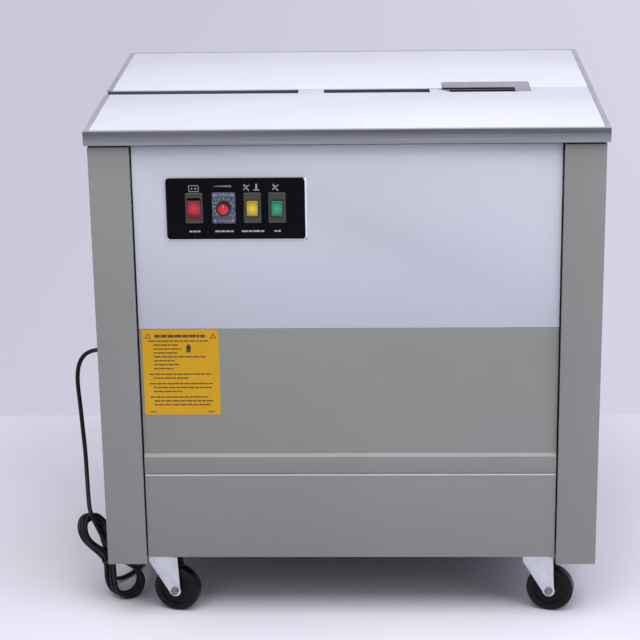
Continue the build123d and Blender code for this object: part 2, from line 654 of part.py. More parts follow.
# ---- Pulleys on their shafts ---------------------------------------------------------------------
for name, x, z, radius, shaft_start in (
        ("motor_pulley", motor_x, motor_z, motor_pulley_radius, motor_y[1] - 19),
        ("gearbox_pulley", worm_x, worm_z, worm_pulley_radius, gearbox_y[1] - 29)):
    with BuildPart() as pulley:
        with BuildSketch(Plane.XZ.offset(-shaft_start)):
            with Locations((x, z)):
                Circle(drive_shaft_radius)
        extrude(amount=-(pulley_y + pulley_width + 3 - shaft_start))
        with BuildSketch(Plane.XZ.offset(-pulley_y)):
            with Locations((x, z)):
                Circle(radius)
        extrude(amount=-pulley_width)
        for start in (pulley_y, pulley_y + pulley_width - 1.5):
            with BuildSketch(Plane.XZ.offset(-start)):
                with Locations((x, z)):
                    Circle(radius + belt_gauge + 2)
            extrude(amount=-1.5)
    pulley.part.label = name
    export_step(pulley.part, f"parts/{name}.step")

# ---- Drive belt round both pulleys ----------------------------------------------------------------
with BuildPart() as drive_belt:
    with BuildSketch(Plane.XZ.offset(-pulley_y - (pulley_width - belt_width) / 2)) as belt_outline:
        with Locations((motor_x, motor_z)):
            Circle(motor_pulley_radius + free_gap + belt_gauge)
        with Locations((worm_x, worm_z)):
            Circle(worm_pulley_radius + free_gap + belt_gauge)
        make_hull()
    extrude(amount=-belt_width)
    with BuildSketch(Plane.XZ.offset(-pulley_y - (pulley_width - belt_width) / 2)) as belt_inside:
        with Locations((motor_x, motor_z)):
            Circle(motor_pulley_radius + free_gap)
        with Locations((worm_x, worm_z)):
            Circle(worm_pulley_radius + free_gap)
        make_hull()
    extrude(amount=-belt_width, mode=Mode.SUBTRACT)
drive_belt.part.label = "drive_belt"
export_step(drive_belt.part, "parts/drive_belt.step")

# ---- Feed roller and pinch roller, side by side in the strap path ---------------------------------
for name, x, z, radius in (("feed_roller", feed_x, feed_z, feed_radius),
                           ("pinch_roller", pinch_x, pinch_z, pinch_radius)):
    with BuildPart() as roller:
        with BuildSketch(Plane.XZ.offset(-roller_plate_y - free_gap)):
            with Locations((x, z)):
                Circle(radius)
                Circle(roller_pin_radius + running_fit, mode=Mode.SUBTRACT)
        extrude(amount=-roller_width)
        with BuildSketch(Plane.XZ.offset(-roller_plate_y - free_gap)):
            with Locations((x, z)):
                Circle(radius * 0.6)
                Circle(roller_pin_radius + running_fit, mode=Mode.SUBTRACT)
        extrude(amount=-roller_width - 8)
    roller.part.label = name
    export_step(roller.part, f"parts/{name}.step")

# ---- Strap pool box: a flat open-topped pocket on the right-hand side panel -----------------------
pool_z = (330.0, 560.0)
pool_x = (180.0, ring_x)
pool_y = (-64.0, -10.0)
with BuildPart() as strap_pool_box:
    with BuildSketch(Plane.XY.offset(pool_z[0])):
        with Locations(((pool_x[0] + pool_x[1]) / 2, (pool_y[0] + pool_y[1]) / 2)):
            Rectangle(pool_x[1] - pool_x[0], pool_y[1] - pool_y[0])
    extrude(amount=pool_z[1] - pool_z[0])
    with BuildSketch(Plane.XY.offset(pool_z[0] + panel_gauge)):
        with Locations(((pool_x[0] + pool_x[1]) / 2, (pool_y[0] + pool_y[1]) / 2)):
            Rectangle(pool_x[1] - pool_x[0] - 2 * panel_gauge, pool_y[1] - pool_y[0] - 2 * panel_gauge)
    extrude(amount=pool_z[1] - pool_z[0], mode=Mode.SUBTRACT)
strap_pool_box.part.label = "strap_pool_box"
export_step(strap_pool_box.part, "parts/strap_pool_box.step")

# ---- Electrical box on the floor, for the transformer and the circuit boards ----------------------
box_size = (160.0, 170.0, 190.0)
box_corner = (4.5, 17.0)    # clearance of its lid from the base ring
lid_rim = 3.0
box_x = ring_x - rail - box_corner[0] - lid_rim - box_size[0] / 2
box_y = ring_y - rail - box_corner[1] - lid_rim - box_size[1] / 2
with BuildPart() as electrical_box:
    with BuildSketch(Plane.XY.offset(floor_top)):
        with Locations((box_x, box_y)):
            Rectangle(box_size[0], box_size[1])
    extrude(amount=box_size[2])
    fillet(electrical_box.edges().filter_by(Axis.Z), radius=3)
    with BuildSketch(Plane.XY.offset(floor_top)):
        with Locations((box_x, box_y)):
            Rectangle(box_size[0] - 2 * panel_gauge, box_size[1] - 2 * panel_gauge)
    extrude(amount=box_size[2] - panel_gauge, mode=Mode.SUBTRACT)
    with BuildSketch(Plane.XY.offset(floor_top + box_size[2])):
        with Locations((box_x, box_y)):
            Rectangle(box_size[0] + 2 * lid_rim, box_size[1] + 2 * lid_rim)
    extrude(amount=4)
electrical_box.part.label = "electrical_box"
export_step(electrical_box.part, "parts/electrical_box.step")

# ---- Reel bracket with its fixed shaft -------------------------------------------------------------
bracket_y = reel_front - 30
reel_rear = reel_front + flange_gauge + reel_width
with BuildPart() as reel_bracket:
    with BuildSketch(Plane.XY.offset(floor_top)):
        with Locations((reel_x, bracket_y - 30)):
            Rectangle(150, 100)
    extrude(amount=4)
    with BuildSketch(Plane.XZ.offset(-bracket_y)):
        with BuildLine():
            Polyline((reel_x - 60, floor_top), (reel_x + 60, floor_top), (reel_x + 28, reel_z + 28),
                     (reel_x - 28, reel_z + 28), close=True)
        make_face()
    extrude(amount=6)
    with BuildSketch(Plane.XZ.offset(-bracket_y)):
        with Locations((reel_x, reel_z)):
            Circle(reel_shaft_radius + 8)
    extrude(amount=-(reel_front - bracket_y - free_gap))
    with BuildSketch(Plane.XZ.offset(-bracket_y)):
        with Locations((reel_x, reel_z)):
            Circle(reel_shaft_radius)
    extrude(amount=-(reel_rear + flange_gauge + 30 - bracket_y))
reel_bracket.part.label = "reel_bracket"
export_step(reel_bracket.part, "parts/reel_bracket.step")

# ---- Reel: inner flange with the core drum, outer flange with its hand nut -------------------------
spoke_hole = 46.0
with BuildPart() as reel_inner_flange:
    with BuildSketch(Plane.XZ.offset(-reel_front)):
        with Locations((reel_x, reel_z)):
            Circle(reel_radius)
            with PolarLocations(62, 6):
                Circle(spoke_hole / 2, mode=Mode.SUBTRACT)
            Circle(reel_shaft_radius + running_fit, mode=Mode.SUBTRACT)
    extrude(amount=-flange_gauge)
    with BuildSketch(Plane.XZ.offset(-reel_front - flange_gauge)):
        with Locations((reel_x, reel_z)):
            Circle(core_radius)
            Circle(core_radius - 4, mode=Mode.SUBTRACT)
            Circle(reel_shaft_radius + 6)
            Circle(reel_shaft_radius + running_fit, mode=Mode.SUBTRACT)
    extrude(amount=-reel_width)
reel_inner_flange.part.label = "reel_inner_flange"
export_step(reel_inner_flange.part, "parts/reel_inner_flange.step")

with BuildPart() as reel_outer_flange:
    with BuildSketch(Plane.XZ.offset(-reel_rear)):
        with Locations((reel_x, reel_z)):
            Circle(reel_radius)
            with PolarLocations(62, 6):
                Circle(spoke_hole / 2, mode=Mode.SUBTRACT)
            Circle(reel_shaft_radius + running_fit, mode=Mode.SUBTRACT)
    extrude(amount=-flange_gauge)
    with BuildSketch(Plane.XZ.offset(-reel_rear - flange_gauge)):
        with Locations((reel_x, reel_z)):
            Circle(reel_shaft_radius + 14)
            with PolarLocations(reel_shaft_radius + 14, 6):
                Circle(4, mode=Mode.SUBTRACT)
            Circle(reel_shaft_radius + running_fit, mode=Mode.SUBTRACT)
    extrude(amount=-18)
reel_outer_flange.part.label = "reel_outer_flange"
export_step(reel_outer_flange.part, "parts/reel_outer_flange.step")

# ---- Coil of strap on the core ---------------------------------------------------------------------
with BuildPart() as strap_coil:
    with BuildSketch(Plane.XZ.offset(-reel_front - flange_gauge)):
        with Locations((reel_x, reel_z)):
            Circle(coil_radius)
            Circle(core_radius, mode=Mode.SUBTRACT)
    extrude(amount=-reel_width)
strap_coil.part.label = "strap_coil"
export_step(strap_coil.part, "parts/strap_coil.step")

# ---- Control plate ------------------------------------------------------------------------------------
control_mid = (control_x[0] + control_x[1]) / 2
with BuildPart() as control_plate:
    with BuildSketch(Plane.XZ.offset(panel_y)):
        with Locations((control_mid, (control_z[0] + control_z[1]) / 2)):
            RectangleRounded(control_x[1] - control_x[0], control_z[1] - control_z[0], 5)
        with Locations((power_x, switch_z), (yellow_x, switch_z), (green_x, switch_z)):
            Rectangle(switch_body[0], switch_body[1], mode=Mode.SUBTRACT)
        with Locations((dial_x, switch_z)):
            Circle(dial_shaft_radius + free_gap, mode=Mode.SUBTRACT)
    extrude(amount=control_gauge)
    chamfer(control_plate.faces().sort_by(Axis.Y)[0].outer_wire().edges(), length=0.6)
control_plate.part.label = "control_plate"
export_step(control_plate.part, "parts/control_plate.step")

# ---- Switch housings: a bezel in front of the plate and a body behind it ------------------------------
pocket_depth = 14.0
rocker_axis_y = control_face + 3.5
rocker_pin_radius = 1.5
for name, x, opening in (("power_bezel", power_x, rocker), ("yellow_bezel", yellow_x, cap),
                         ("green_bezel", green_x, cap)):
    with BuildPart() as housing:
        with BuildSketch(Plane.XZ.offset(-control_face)):
            with Locations((x, switch_z)):
                RectangleRounded(*bezel, 2)
        extrude(amount=bezel_stand)
        chamfer(housing.faces().sort_by(Axis.Y)[0].outer_wire().edges(), length=0.8)
        with BuildSketch(Plane.XZ.offset(-control_face)):
            with Locations((x, switch_z)):
                Rectangle(switch_body[0], switch_body[1])
        extrude(amount=-switch_body[2])
        with BuildSketch(Plane.XZ.offset(-control_face + bezel_stand)):
            with Locations((x, switch_z)):
                Rectangle(opening[0] + 2 * free_gap, opening[1] + 2 * free_gap)
        extrude(amount=-pocket_depth, mode=Mode.SUBTRACT)
        if name == "power_bezel":
            with BuildSketch(Plane.YZ.offset(power_x - rocker[0] / 2 - 1.2)):
                with Locations((rocker_axis_y, switch_z)):
                    Circle(rocker_pin_radius + running_fit)
            extrude(amount=rocker[0] + 2.4, mode=Mode.SUBTRACT)
    housing.part.label = name
    export_step(housing.part, f"parts/{name}.step")

# ---- Power rocker: a curved cap that tilts about its middle, resting with one end pressed --------------
rocker_top = bezel_stand + 6.5
with BuildPart() as power_rocker:
    lean = radians(rocker_tilt)
    with BuildSketch(Plane(origin=(power_x - rocker[0] / 2, rocker_axis_y, switch_z),
                           x_dir=(0, cos(lean), sin(lean)), z_dir=(1, 0, 0))):
        half = rocker[1] / 2 - 0.8
        with BuildLine():
            Line((3, -half + 4), (3, half - 4))
            Line((3, half - 4), (-rocker_top, half))
            ThreePointArc((-rocker_top, half), (-rocker_top + 2.4, 0), (-rocker_top, -half))
            Line((-rocker_top, -half), (3, -half + 4))
        make_face()
    extrude(amount=rocker[0])
    with BuildSketch(Plane.YZ.offset(power_x - rocker[0] / 2 - 1)):
        with Locations((rocker_axis_y, switch_z)):
            Circle(rocker_pin_radius)
    extrude(amount=rocker[0] + 2)
power_rocker.part.label = "power_rocker"
export_step(power_rocker.part, "parts/power_rocker.step")

# ---- Push-button caps ------------------------------------------------------------------------------------
for name, x in (("yellow_button", yellow_x), ("green_button", green_x)):
    with BuildPart() as button:
        with BuildSketch(Plane.XZ.offset(-control_face - pocket_depth + bezel_stand + button_travel + 1)):
            with Locations((x, switch_z)):
                RectangleRounded(*cap, 1.5)
        extrude(amount=pocket_depth - button_travel - 1 + cap_stand)
        fillet(button.faces().sort_by(Axis.Y)[0].outer_wire().edges(), radius=1.2)
    button.part.label = name
    export_step(button.part, f"parts/{name}.step")

# ---- Dial plate with the potentiometer behind it, and the knob with its spindle ------------------------
dial_plate_size = (35.0, 48.0)
dial_gauge = 1.0
pot_radius, pot_length = 12.0, 14.0
with BuildPart() as dial_plate:
    with BuildSketch(Plane.XZ.offset(-control_face)):
        with Locations((dial_x, switch_z)):
            RectangleRounded(*dial_plate_size, 2)
            Circle(dial_shaft_radius + free_gap, mode=Mode.SUBTRACT)
    extrude(amount=dial_gauge)
    with BuildSketch(Plane.XZ.offset(-control_face - control_gauge)):
        with Locations((dial_x, switch_z)):
            Circle(pot_radius)
            Circle(dial_shaft_radius + running_fit, mode=Mode.SUBTRACT)
    extrude(amount=-pot_length)
dial_plate.part.label = "dial_plate"
export_step(dial_plate.part, "parts/dial_plate.step")

with BuildPart() as dial_knob:
    with BuildSketch(Plane.XZ.offset(-control_face + dial_gauge + free_gap)):
        with Locations((dial_x, switch_z)):
            Circle(knob_radius)
            with PolarLocations(knob_radius + 0.4, 18):
                Circle(0.9, mode=Mode.SUBTRACT)
    extrude(amount=knob_length)
    fillet(dial_knob.faces().sort_by(Axis.Y)[0].outer_wire().edges(), radius=0.8)
    with BuildSketch(Plane.XZ.offset(-control_face + dial_gauge + free_gap)):
        with Locations((dial_x, switch_z)):
            Circle(dial_shaft_radius)
    extrude(amount=-(dial_gauge + free_gap + control_gauge + pot_length - 2))
dial_knob.part.label = "dial_knob"
export_step(dial_knob.part, "parts/dial_knob.step")

# ---- Instruction label on the lower front panel ------------------------------------------------------------
with BuildPart() as safety_label:
    with BuildSketch(Plane.XZ.offset(panel_y)):
        with Locations((-257.5, 415.5)):
            RectangleRounded(118, 139, 3)
    extrude(amount=0.4)
safety_label.part.label = "safety_label"
export_step(safety_label.part, "parts/safety_label.step")

# ---- Casters: bolted plates, swivelling forks with their axles, and wheels ---------------------------------
plate_bottom = frame_bottom - caster_plate[1]
king_pin_radius = 6.0
with BuildPart() as caster_plates:
    with BuildSketch(Plane.XY.offset(plate_bottom)):
        with GridLocations(2 * caster_x, 2 * caster_y, 2, 2):
            RectangleRounded(caster_plate[0], caster_plate[0], 5)
            Circle(king_pin_radius + running_fit, mode=Mode.SUBTRACT)
    extrude(amount=caster_plate[1])
caster_plates.part.label = "caster_plates"
export_step(caster_plates.part, "parts/caster_plates.step")

crown_top = plate_bottom - 6.0
leg_offset = wheel_width / 2 + fork_gap
for corner, heading in headings.items():
    side = -1 if corner.endswith("left") else 1
    end = -1 if corner.startswith("front") else 1
    along = Vector(cos(radians(heading)), sin(radians(heading)), 0)
    swivel = Vector(side * caster_x, end * caster_y, 0)
    upright = Plane(origin=swivel, x_dir=along, z_dir=(along.Y, -along.X, 0))
    flat = Plane(origin=swivel, x_dir=along, z_dir=(0, 0, 1))
    with BuildPart() as caster_fork:
        for offset_out in (-leg_offset - fork_gauge, leg_offset):
            with BuildSketch(upright.offset(offset_out)):
                with BuildLine():
                    Polyline((-22, crown_top), (26, crown_top), (trail + 9, wheel_radius),
                             (trail - 8, wheel_radius - 5), (-22, crown_top - 12), close=True)
                make_face()
                with Locations((trail, wheel_radius)):
                    Circle(10)
            extrude(amount=fork_gauge)
        with BuildSketch(flat.offset(crown_top - fork_gauge)):
            with Locations((2, 0)):
                Rectangle(48, 2 * (leg_offset + fork_gauge))
        extrude(amount=fork_gauge)
        with BuildSketch(flat.offset(crown_top)):
            Circle(23)
        extrude(amount=plate_bottom - free_gap - crown_top, taper=8)
        with BuildSketch(flat.offset(crown_top)):
            Circle(king_pin_radius)
        extrude(amount=frame_bottom - 0.5 - crown_top)
        with BuildSketch(upright.offset(-leg_offset - fork_gauge)):
            with Locations((trail, wheel_radius)):
                Circle(axle_radius)
        extrude(amount=2 * (leg_offset + fork_gauge))
        for start, away in ((leg_offset + fork_gauge, 4.5), (-leg_offset - fork_gauge, -4.5)):
            with BuildSketch(upright.offset(start)):
                with Locations((trail, wheel_radius)):
                    RegularPolygon(axle_radius * 1.7, 6)
            extrude(amount=away)
    caster_fork.part.label = f"caster_fork_{corner}"
    export_step(caster_fork.part, f"parts/caster_fork_{corner}.step")

    with BuildPart() as caster_wheel:
        with BuildSketch(upright.offset(-wheel_width / 2)):
            with Locations((trail, wheel_radius)):
                Circle(wheel_radius)
        extrude(amount=wheel_width)
        fillet(caster_wheel.edges().filter_by(GeomType.CIRCLE), radius=5)
        for start, away in ((wheel_width / 2, -3), (-wheel_width / 2, 3)):
            with BuildSketch(upright.offset(start)):
                with Locations((trail, wheel_radius)):
                    Circle(wheel_radius * 0.68)
                    Circle(wheel_radius * 0.30, mode=Mode.SUBTRACT)
            extrude(amount=away, mode=Mode.SUBTRACT)
        with BuildSketch(upright.offset(-wheel_width / 2)):
            with Locations((trail, wheel_radius)):
                Circle(wheel_radius * 0.30)
        extrude(amount=wheel_width)
        with BuildSketch(upright.offset(-wheel_width)):
            with Locations((trail, wheel_radius)):
                Circle(axle_radius + running_fit)
        extrude(amount=2 * wheel_width, mode=Mode.SUBTRACT)
    caster_wheel.part.label = f"caster_wheel_{corner}"
    export_step(caster_wheel.part, f"parts/caster_wheel_{corner}.step")

# ---- Cord gland in the left side panel, with a tapered strain relief -----------------------------------------
gland_plane = Plane(origin=(-ring_x, gland_y, gland_z), x_dir=(0, 1, 0), z_dir=(-1, 0, 0))
gland_end = -cord_down[0][0] - ring_x
with BuildPart() as cord_gland:
    with BuildSketch(gland_plane.offset(-10)):
        Circle(gland_bore / 2)
    extrude(amount=10 + panel_gauge)
    with BuildSketch(gland_plane.offset(panel_gauge)):
        RegularPolygon(gland_bore * 0.75, 6)
    extrude(amount=5)
    with BuildSketch(gland_plane.offset(panel_gauge + 5)):
        Circle(gland_bore / 2)
    with BuildSketch(gland_plane.offset(gland_end)):
        Circle(cord_diameter / 2 + 0.6)
    loft()
    with BuildSketch(gland_plane.offset(-10)):
        RegularPolygon(gland_bore * 0.75, 6)
    extrude(amount=6)
cord_gland.part.label = "cord_gland"
export_step(cord_gland.part, "parts/cord_gland.step")


# ---- Supply cord: straight runs joined by arcs as large as the runs allow -------------------------------------
def arc_radii(points):
    """Radius at each inner point: 0.45 of the shorter run over the tangent of half the turn."""
    runs = [Vector(*b) - Vector(*a) for a, b in zip(points, points[1:])]
    radii = []
    for before, after in zip(runs, runs[1:]):
        half_turn = radians(before.get_angle(after)) / 2
        radii.append(0.45 * min(before.length, after.length) / tan(half_turn))
    return radii


cord_radii = {}
with BuildPart() as power_cord:
    for stretch, points in (("down", cord_down), ("back", cord_back)):
        cord_radii[stretch] = arc_radii(points)
        with BuildLine() as route:
            FilletPolyline(*points, radius=cord_radii[stretch])
        path = route.wires()[0]
        with BuildSketch(Plane(origin=path @ 0, z_dir=path % 0)):
            Circle(cord_diameter / 2)
        sweep(path=path)
        print(stretch, "cord length", round(path.length, 1),
              "radii", [round(radius) for radius in cord_radii[stretch]])
power_cord.part.label = "power_cord"
export_step(power_cord.part, "parts/power_cord.step")

# ---- Tied hank of the spare cord, leaning from the floor against the hanging lead ------------------------------
hank_axis = (hank_bottom - hank_top).normalized()
hank_across = Vector(0.45, 0.9, 0)
hank_across = (hank_across - hank_axis * hank_across.dot(hank_axis)).normalized()
hank_plane = Plane(origin=(hank_top + hank_bottom) * 0.5, x_dir=hank_axis, z_dir=hank_axis.cross(hank_across))
with BuildPart() as cord_hank:
    with BuildSketch(hank_plane.offset(-hank_size[1] / 2)):
        SlotOverall((hank_bottom - hank_top).length, hank_size[0])
    extrude(amount=hank_size[1])
    fillet(cord_hank.edges(), radius=6)
    with BuildSketch(Plane.XY.offset(hank_foot.Z)):
        with Locations((hank_foot.X, hank_foot.Y)):
            Circle(hank_foot_size[0])
    extrude(amount=hank_foot_size[1])
cord_hank.part.label = "cord_hank"
export_step(cord_hank.part, "parts/cord_hank.step")

# ---- Plug on the end of the cord, lying on the floor under the cabinet -------------------------------------------
plug_y = cord_back[-1][1]
with BuildPart() as cord_plug:
    with BuildSketch(Plane.XZ.offset(-plug_y)):
        with Locations((cord_back[-1][0], plug_size[2] / 2)):
            RectangleRounded(plug_size[0] * 0.5, plug_size[2] * 0.7, 5)
    with BuildSketch(Plane.XZ.offset(-plug_y - plug_size[1] * 0.55)):
        with Locations((cord_back[-1][0], plug_size[2] / 2)):
            RectangleRounded(plug_size[0], plug_size[2], 8)
    loft()
    with BuildSketch(Plane.XZ.offset(-plug_y - plug_size[1] * 0.55)):
        with Locations((cord_back[-1][0], plug_size[2] / 2)):
            RectangleRounded(plug_size[0], plug_size[2], 8)
    extrude(amount=-plug_size[1] * 0.45)
    with BuildSketch(Plane.XZ.offset(-plug_y - plug_size[1])):
        with Locations((cord_back[-1][0] - 9.5, plug_size[2] / 2), (cord_back[-1][0] + 9.5, plug_size[2] / 2)):
            Circle(2.4)
    extrude(amount=-19)
cord_plug.part.label = "cord_plug"
export_step(cord_plug.part, "parts/cord_plug.step")
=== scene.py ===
import json
import math
import random
import bpy
from mathutils import Matrix, Vector


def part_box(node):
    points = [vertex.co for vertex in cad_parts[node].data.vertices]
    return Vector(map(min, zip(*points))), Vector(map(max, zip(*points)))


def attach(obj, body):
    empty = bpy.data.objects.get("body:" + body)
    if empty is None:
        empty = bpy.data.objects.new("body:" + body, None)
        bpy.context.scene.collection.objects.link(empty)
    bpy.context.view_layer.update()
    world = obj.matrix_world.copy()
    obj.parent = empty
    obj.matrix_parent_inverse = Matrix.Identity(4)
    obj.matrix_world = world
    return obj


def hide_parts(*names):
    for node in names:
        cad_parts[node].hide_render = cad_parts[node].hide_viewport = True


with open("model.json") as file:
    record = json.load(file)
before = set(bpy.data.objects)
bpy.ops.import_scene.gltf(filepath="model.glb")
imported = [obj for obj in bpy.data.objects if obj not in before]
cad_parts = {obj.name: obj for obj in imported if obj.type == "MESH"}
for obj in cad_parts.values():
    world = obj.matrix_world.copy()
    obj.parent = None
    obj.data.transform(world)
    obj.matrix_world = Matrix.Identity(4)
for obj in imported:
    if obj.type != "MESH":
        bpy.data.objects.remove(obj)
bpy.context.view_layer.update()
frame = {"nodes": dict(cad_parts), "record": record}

# ---- Studio ------------------------------------------------------------------------------------
# The machine stands on a plain pale floor, lit by one large soft panel high above the operator and by
# two small ones, a weak one from the left and a stronger one from the right.
scene = bpy.context.scene
scene.view_settings.view_transform = "Standard"
scene.view_settings.look = "None"


def linear(hex_colour):
    """An sRGB hex colour as linear red, green, blue and alpha."""
    channels = [int(hex_colour[i:i + 2], 16) / 255 for i in (1, 3, 5)]
    return [c / 12.92 if c <= 0.04045 else ((c + 0.055) / 1.055) ** 2.4 for c in channels] + [1.0]


def add(tree, kind, settings=None, **inputs):
    """Adds a node; settings are its own options, and each input is a value or an output to link."""
    made = tree.nodes.new("ShaderNode" + kind)
    for option, value in (settings or {}).items():
        setattr(made, option, value)
    for name, value in inputs.items():
        key = name.replace("_", " ")
        socket = made.inputs[int(key[1:])] if key[0] == "i" and key[1:].isdigit() else made.inputs[key]
        if isinstance(value, bpy.types.NodeSocket):
            tree.links.new(value, socket)
        else:
            socket.default_value = value
    return made


def new_material(name):
    """An empty material with its shader and its object coordinates."""
    material = bpy.data.materials.new(name)
    material.use_nodes = True
    tree = material.node_tree
    tree.nodes.clear()
    shader = add(tree, "BsdfPrincipled")
    output = add(tree, "OutputMaterial", Surface=shader.outputs["BSDF"])
    output.is_active_output = True
    return material, tree, shader, add(tree, "TexCoord").outputs["Object"]


def ramp(tree, value, stops):
    """A colour ramp over a value; stops are (position, hex colour)."""
    made = add(tree, "ValToRGB", Fac=value)
    for index, (place, colour) in enumerate(stops):
        stop = made.color_ramp.elements[index] if index < 2 else made.color_ramp.elements.new(place)
        stop.position, stop.color = place, linear(colour)
    return made.outputs["Color"]


# Matt emulsion of the studio: a trace of roller texture keeps the wide surfaces from looking flat.
studio_paint, tree, shader, place = new_material("studio emulsion")
grain = add(tree, "TexNoise", Vector=place, Scale=3.0, Detail=2.0).outputs["Fac"]
tree.links.new(ramp(tree, grain, [(0.35, "#dcdbe6"), (0.65, "#e1e0ea")]), shader.inputs["Base Color"])
shader.inputs["Roughness"].default_value = 0.85

# Behind the machine the floor goes on as a softly glowing lavender sheet, which rises far behind it; its glow
# is painted brighter from left to right, a painted light falloff
lit_sheet, tree, shader, place = new_material("glowing backdrop with painted side light")
# Painted light: the glow rises from left to right across the sheet
sideways = add(tree, "SeparateXYZ", Vector=place).outputs["X"]
spread = add(tree, "MapRange", Value=sideways, From_Min=-0.9, From_Max=0.9).outputs["Result"]
tree.links.new(ramp(tree, spread, [(0.0, "#cfcdde"), (1.0, "#dcd9ec")]), shader.inputs["Emission Color"])
shader.inputs["Emission Strength"].default_value = 0.93
shader.inputs["Base Color"].default_value = linear("#202022")
shader.inputs["Roughness"].default_value = 0.9
shader.inputs["Specular IOR Level"].default_value = 0.0

sheet_start, sheet_rise, sheet_size = 0.6, 6.5, 14.0
upright = math.pi / 2
for name, at, tilt, paint in (("studio_floor", (0, sheet_start - sheet_size / 2, 0), 0, studio_paint),
                              ("studio_sheet", (0, sheet_start + sheet_size / 2, 0), 0, lit_sheet),
                              ("studio_sheet_risen", (0, sheet_rise, sheet_size / 2), upright, lit_sheet)):
    bpy.ops.object.select_all(action="DESELECT")
    bpy.ops.mesh.primitive_plane_add(size=sheet_size, location=at, rotation=(tilt, 0, 0))
    surface = bpy.context.object
    surface.name = name
    surface.data.materials.append(paint)

scene.world = bpy.data.worlds.new("studio light")
scene.world.use_nodes = True
room_light = scene.world.node_tree.nodes["Background"]
room_light.inputs["Color"].default_value = linear("#eceaf6")
room_light.inputs["Strength"].default_value = 0.29


def soft_panel(name, at, towards, width, height, power, colour):
    """A rectangular area light that faces a point."""
    lamp = bpy.data.lights.new(name, "AREA")
    lamp.shape, lamp.size, lamp.size_y = "RECTANGLE", width, height
    lamp.energy, lamp.color = power, linear(colour)[:3]
    holder = bpy.data.objects.new(name, lamp)
    holder.location = at
    holder.rotation_euler = (Vector(towards) - Vector(at)).to_track_quat("-Z", "Y").to_euler()
    scene.collection.objects.link(holder)


soft_panel("key_panel", (-1.2, -2.8, 2.2), (0, 0, 0.5), 1.8, 1.8, 14, "#fffdf8")
soft_panel("fill_panel", (2.6, -1.6, 2.0), (0.6, 0.2, 0.2), 1.8, 1.8, 34, "#f6f6ff")
soft_panel("top_panel", (0.1, -2.0, 6.0), (0, -0.15, 0), 6.0, 5.0, 368, "#ffffff")

# The camera: a long lens a little right of the middle, at head height, tipped down to the table.
camera_at = (0.0624, -3.221, 1.4882)
tip_down, turn, lean = 0.3148, 0.0357, -0.0157
camera = bpy.data.cameras.new("camera")
camera.lens, camera.sensor_width, camera.shift_y = 114.26, 36.0, -0.03125
camera_holder = bpy.data.objects.new("camera", camera)
camera_holder.location = camera_at
aim = Matrix.Rotation(turn, 3, "Z") @ Matrix.Rotation(math.pi / 2 - tip_down, 3, "X")
aim = aim @ Matrix.Rotation(lean, 3, "Z")
camera_holder.rotation_euler = aim.to_euler()
scene.collection.objects.link(camera_holder)
scene.camera = camera_holder

# ---- Supply cord -------------------------------------------------------------------------------
# A black 7 mm mains lead leaves the left side panel, hangs in a lazy arc and ends in a tied hank that
# leans on the foot of the machine; the last stretch runs under the cabinet to the plug. Its turns are
# worked out round the tie: folds above it, and folds below it that stand on the floor.
mm = 0.001
cord_diameter = 7 * mm
lead_points = [(-0.401, -0.112, 0.392), (-0.417, -0.112, 0.392), (-0.432, -0.113, 0.386),
               (-0.441, -0.114, 0.375), (-0.446, -0.116, 0.360), (-0.447, -0.121, 0.338),
               (-0.443, -0.130, 0.306), (-0.439, -0.142, 0.268), (-0.434, -0.158, 0.230),
               (-0.430, -0.180, 0.197), (-0.426, -0.203, 0.170)]
plug_points = [(-0.402, -0.196, 0.040), (-0.399, -0.181, 0.018), (-0.389, -0.163, 0.005),
               (-0.374, -0.145, 0.004), (-0.362, -0.121, 0.004), (-0.357, -0.098, 0.004),
               (-0.355, -0.075, 0.006), (-0.351, -0.053, 0.013)]
hank_top, hank_foot = Vector((-0.433, -0.214, 0.148)), Vector((-0.356, -0.212, 0.004))
down = (hank_foot - hank_top).normalized()
across = Vector((0.45, 0.9, 0.0))
across = (across - down * across.dot(down)).normalized()
through = down.cross(across)
twist = math.radians(35)            # between the folds above the tie and the folds below it
lane = 8 * mm                       # from one strand to the next
strands_apart, wide_strands_apart = 4 * mm, 11 * mm     # of a fold's two strands, from the middle of the tie
tie_at = 88 * mm                    # the tie, measured down the hank from its top
# Each strand's fold radius and its layer through the hank, then the heights of the upper folds
lanes = [(22 * mm, 1), (24 * mm, 0), (22 * mm, -1), (26 * mm, -1), (26 * mm, 0)]
fold_heights = [33 * mm, 39 * mm, 31 * mm, 34 * mm]
corner_cut = 0.95                   # how far out the smooth line comes on a fold, against its points
floor_rest = 4.2 * mm               # height of the lowest strand's points


def in_hank(along, sideways, layer_offset, turned=0.0):
    """A point beside the hank's axis; turned is how far the strands have twisted, from 0 to 1."""
    angle = turned * twist
    u = sideways * math.cos(angle) - layer_offset * math.sin(angle)
    v = sideways * math.sin(angle) + layer_offset * math.cos(angle)
    return hank_top + down * along + across * u + through * v


def waist(strand, side):
    """The strand's two points at the tie, from above to below it."""
    radius, layer = lanes[strand]
    sideways = side * (strands_apart if radius < 25 * mm else wide_strands_apart)
    return [in_hank(tie_at - 12 * mm, sideways, layer * lane, 0.0),
            in_hank(tie_at + 6 * mm, sideways, layer * lane, 0.8)]


def lower_fold(strand):
    """A teardrop at the foot of the hank, its lowest point on the floor, from one side to the other."""
    radius, layer = lanes[strand]
    wide = (radius + 2 * mm) / corner_cut
    level = in_hank(0, 0, layer * lane, 1.0).z
    centre = (level - floor_rest - 0.9 * wide) / -down.z
    points = []
    for degrees in (-120, -80, -40, 0, 40, 80, 120):
        angle = math.radians(degrees)
        points.append(in_hank(centre + wide * math.cos(angle), wide * math.sin(angle), layer * lane, 1.0))
    return points


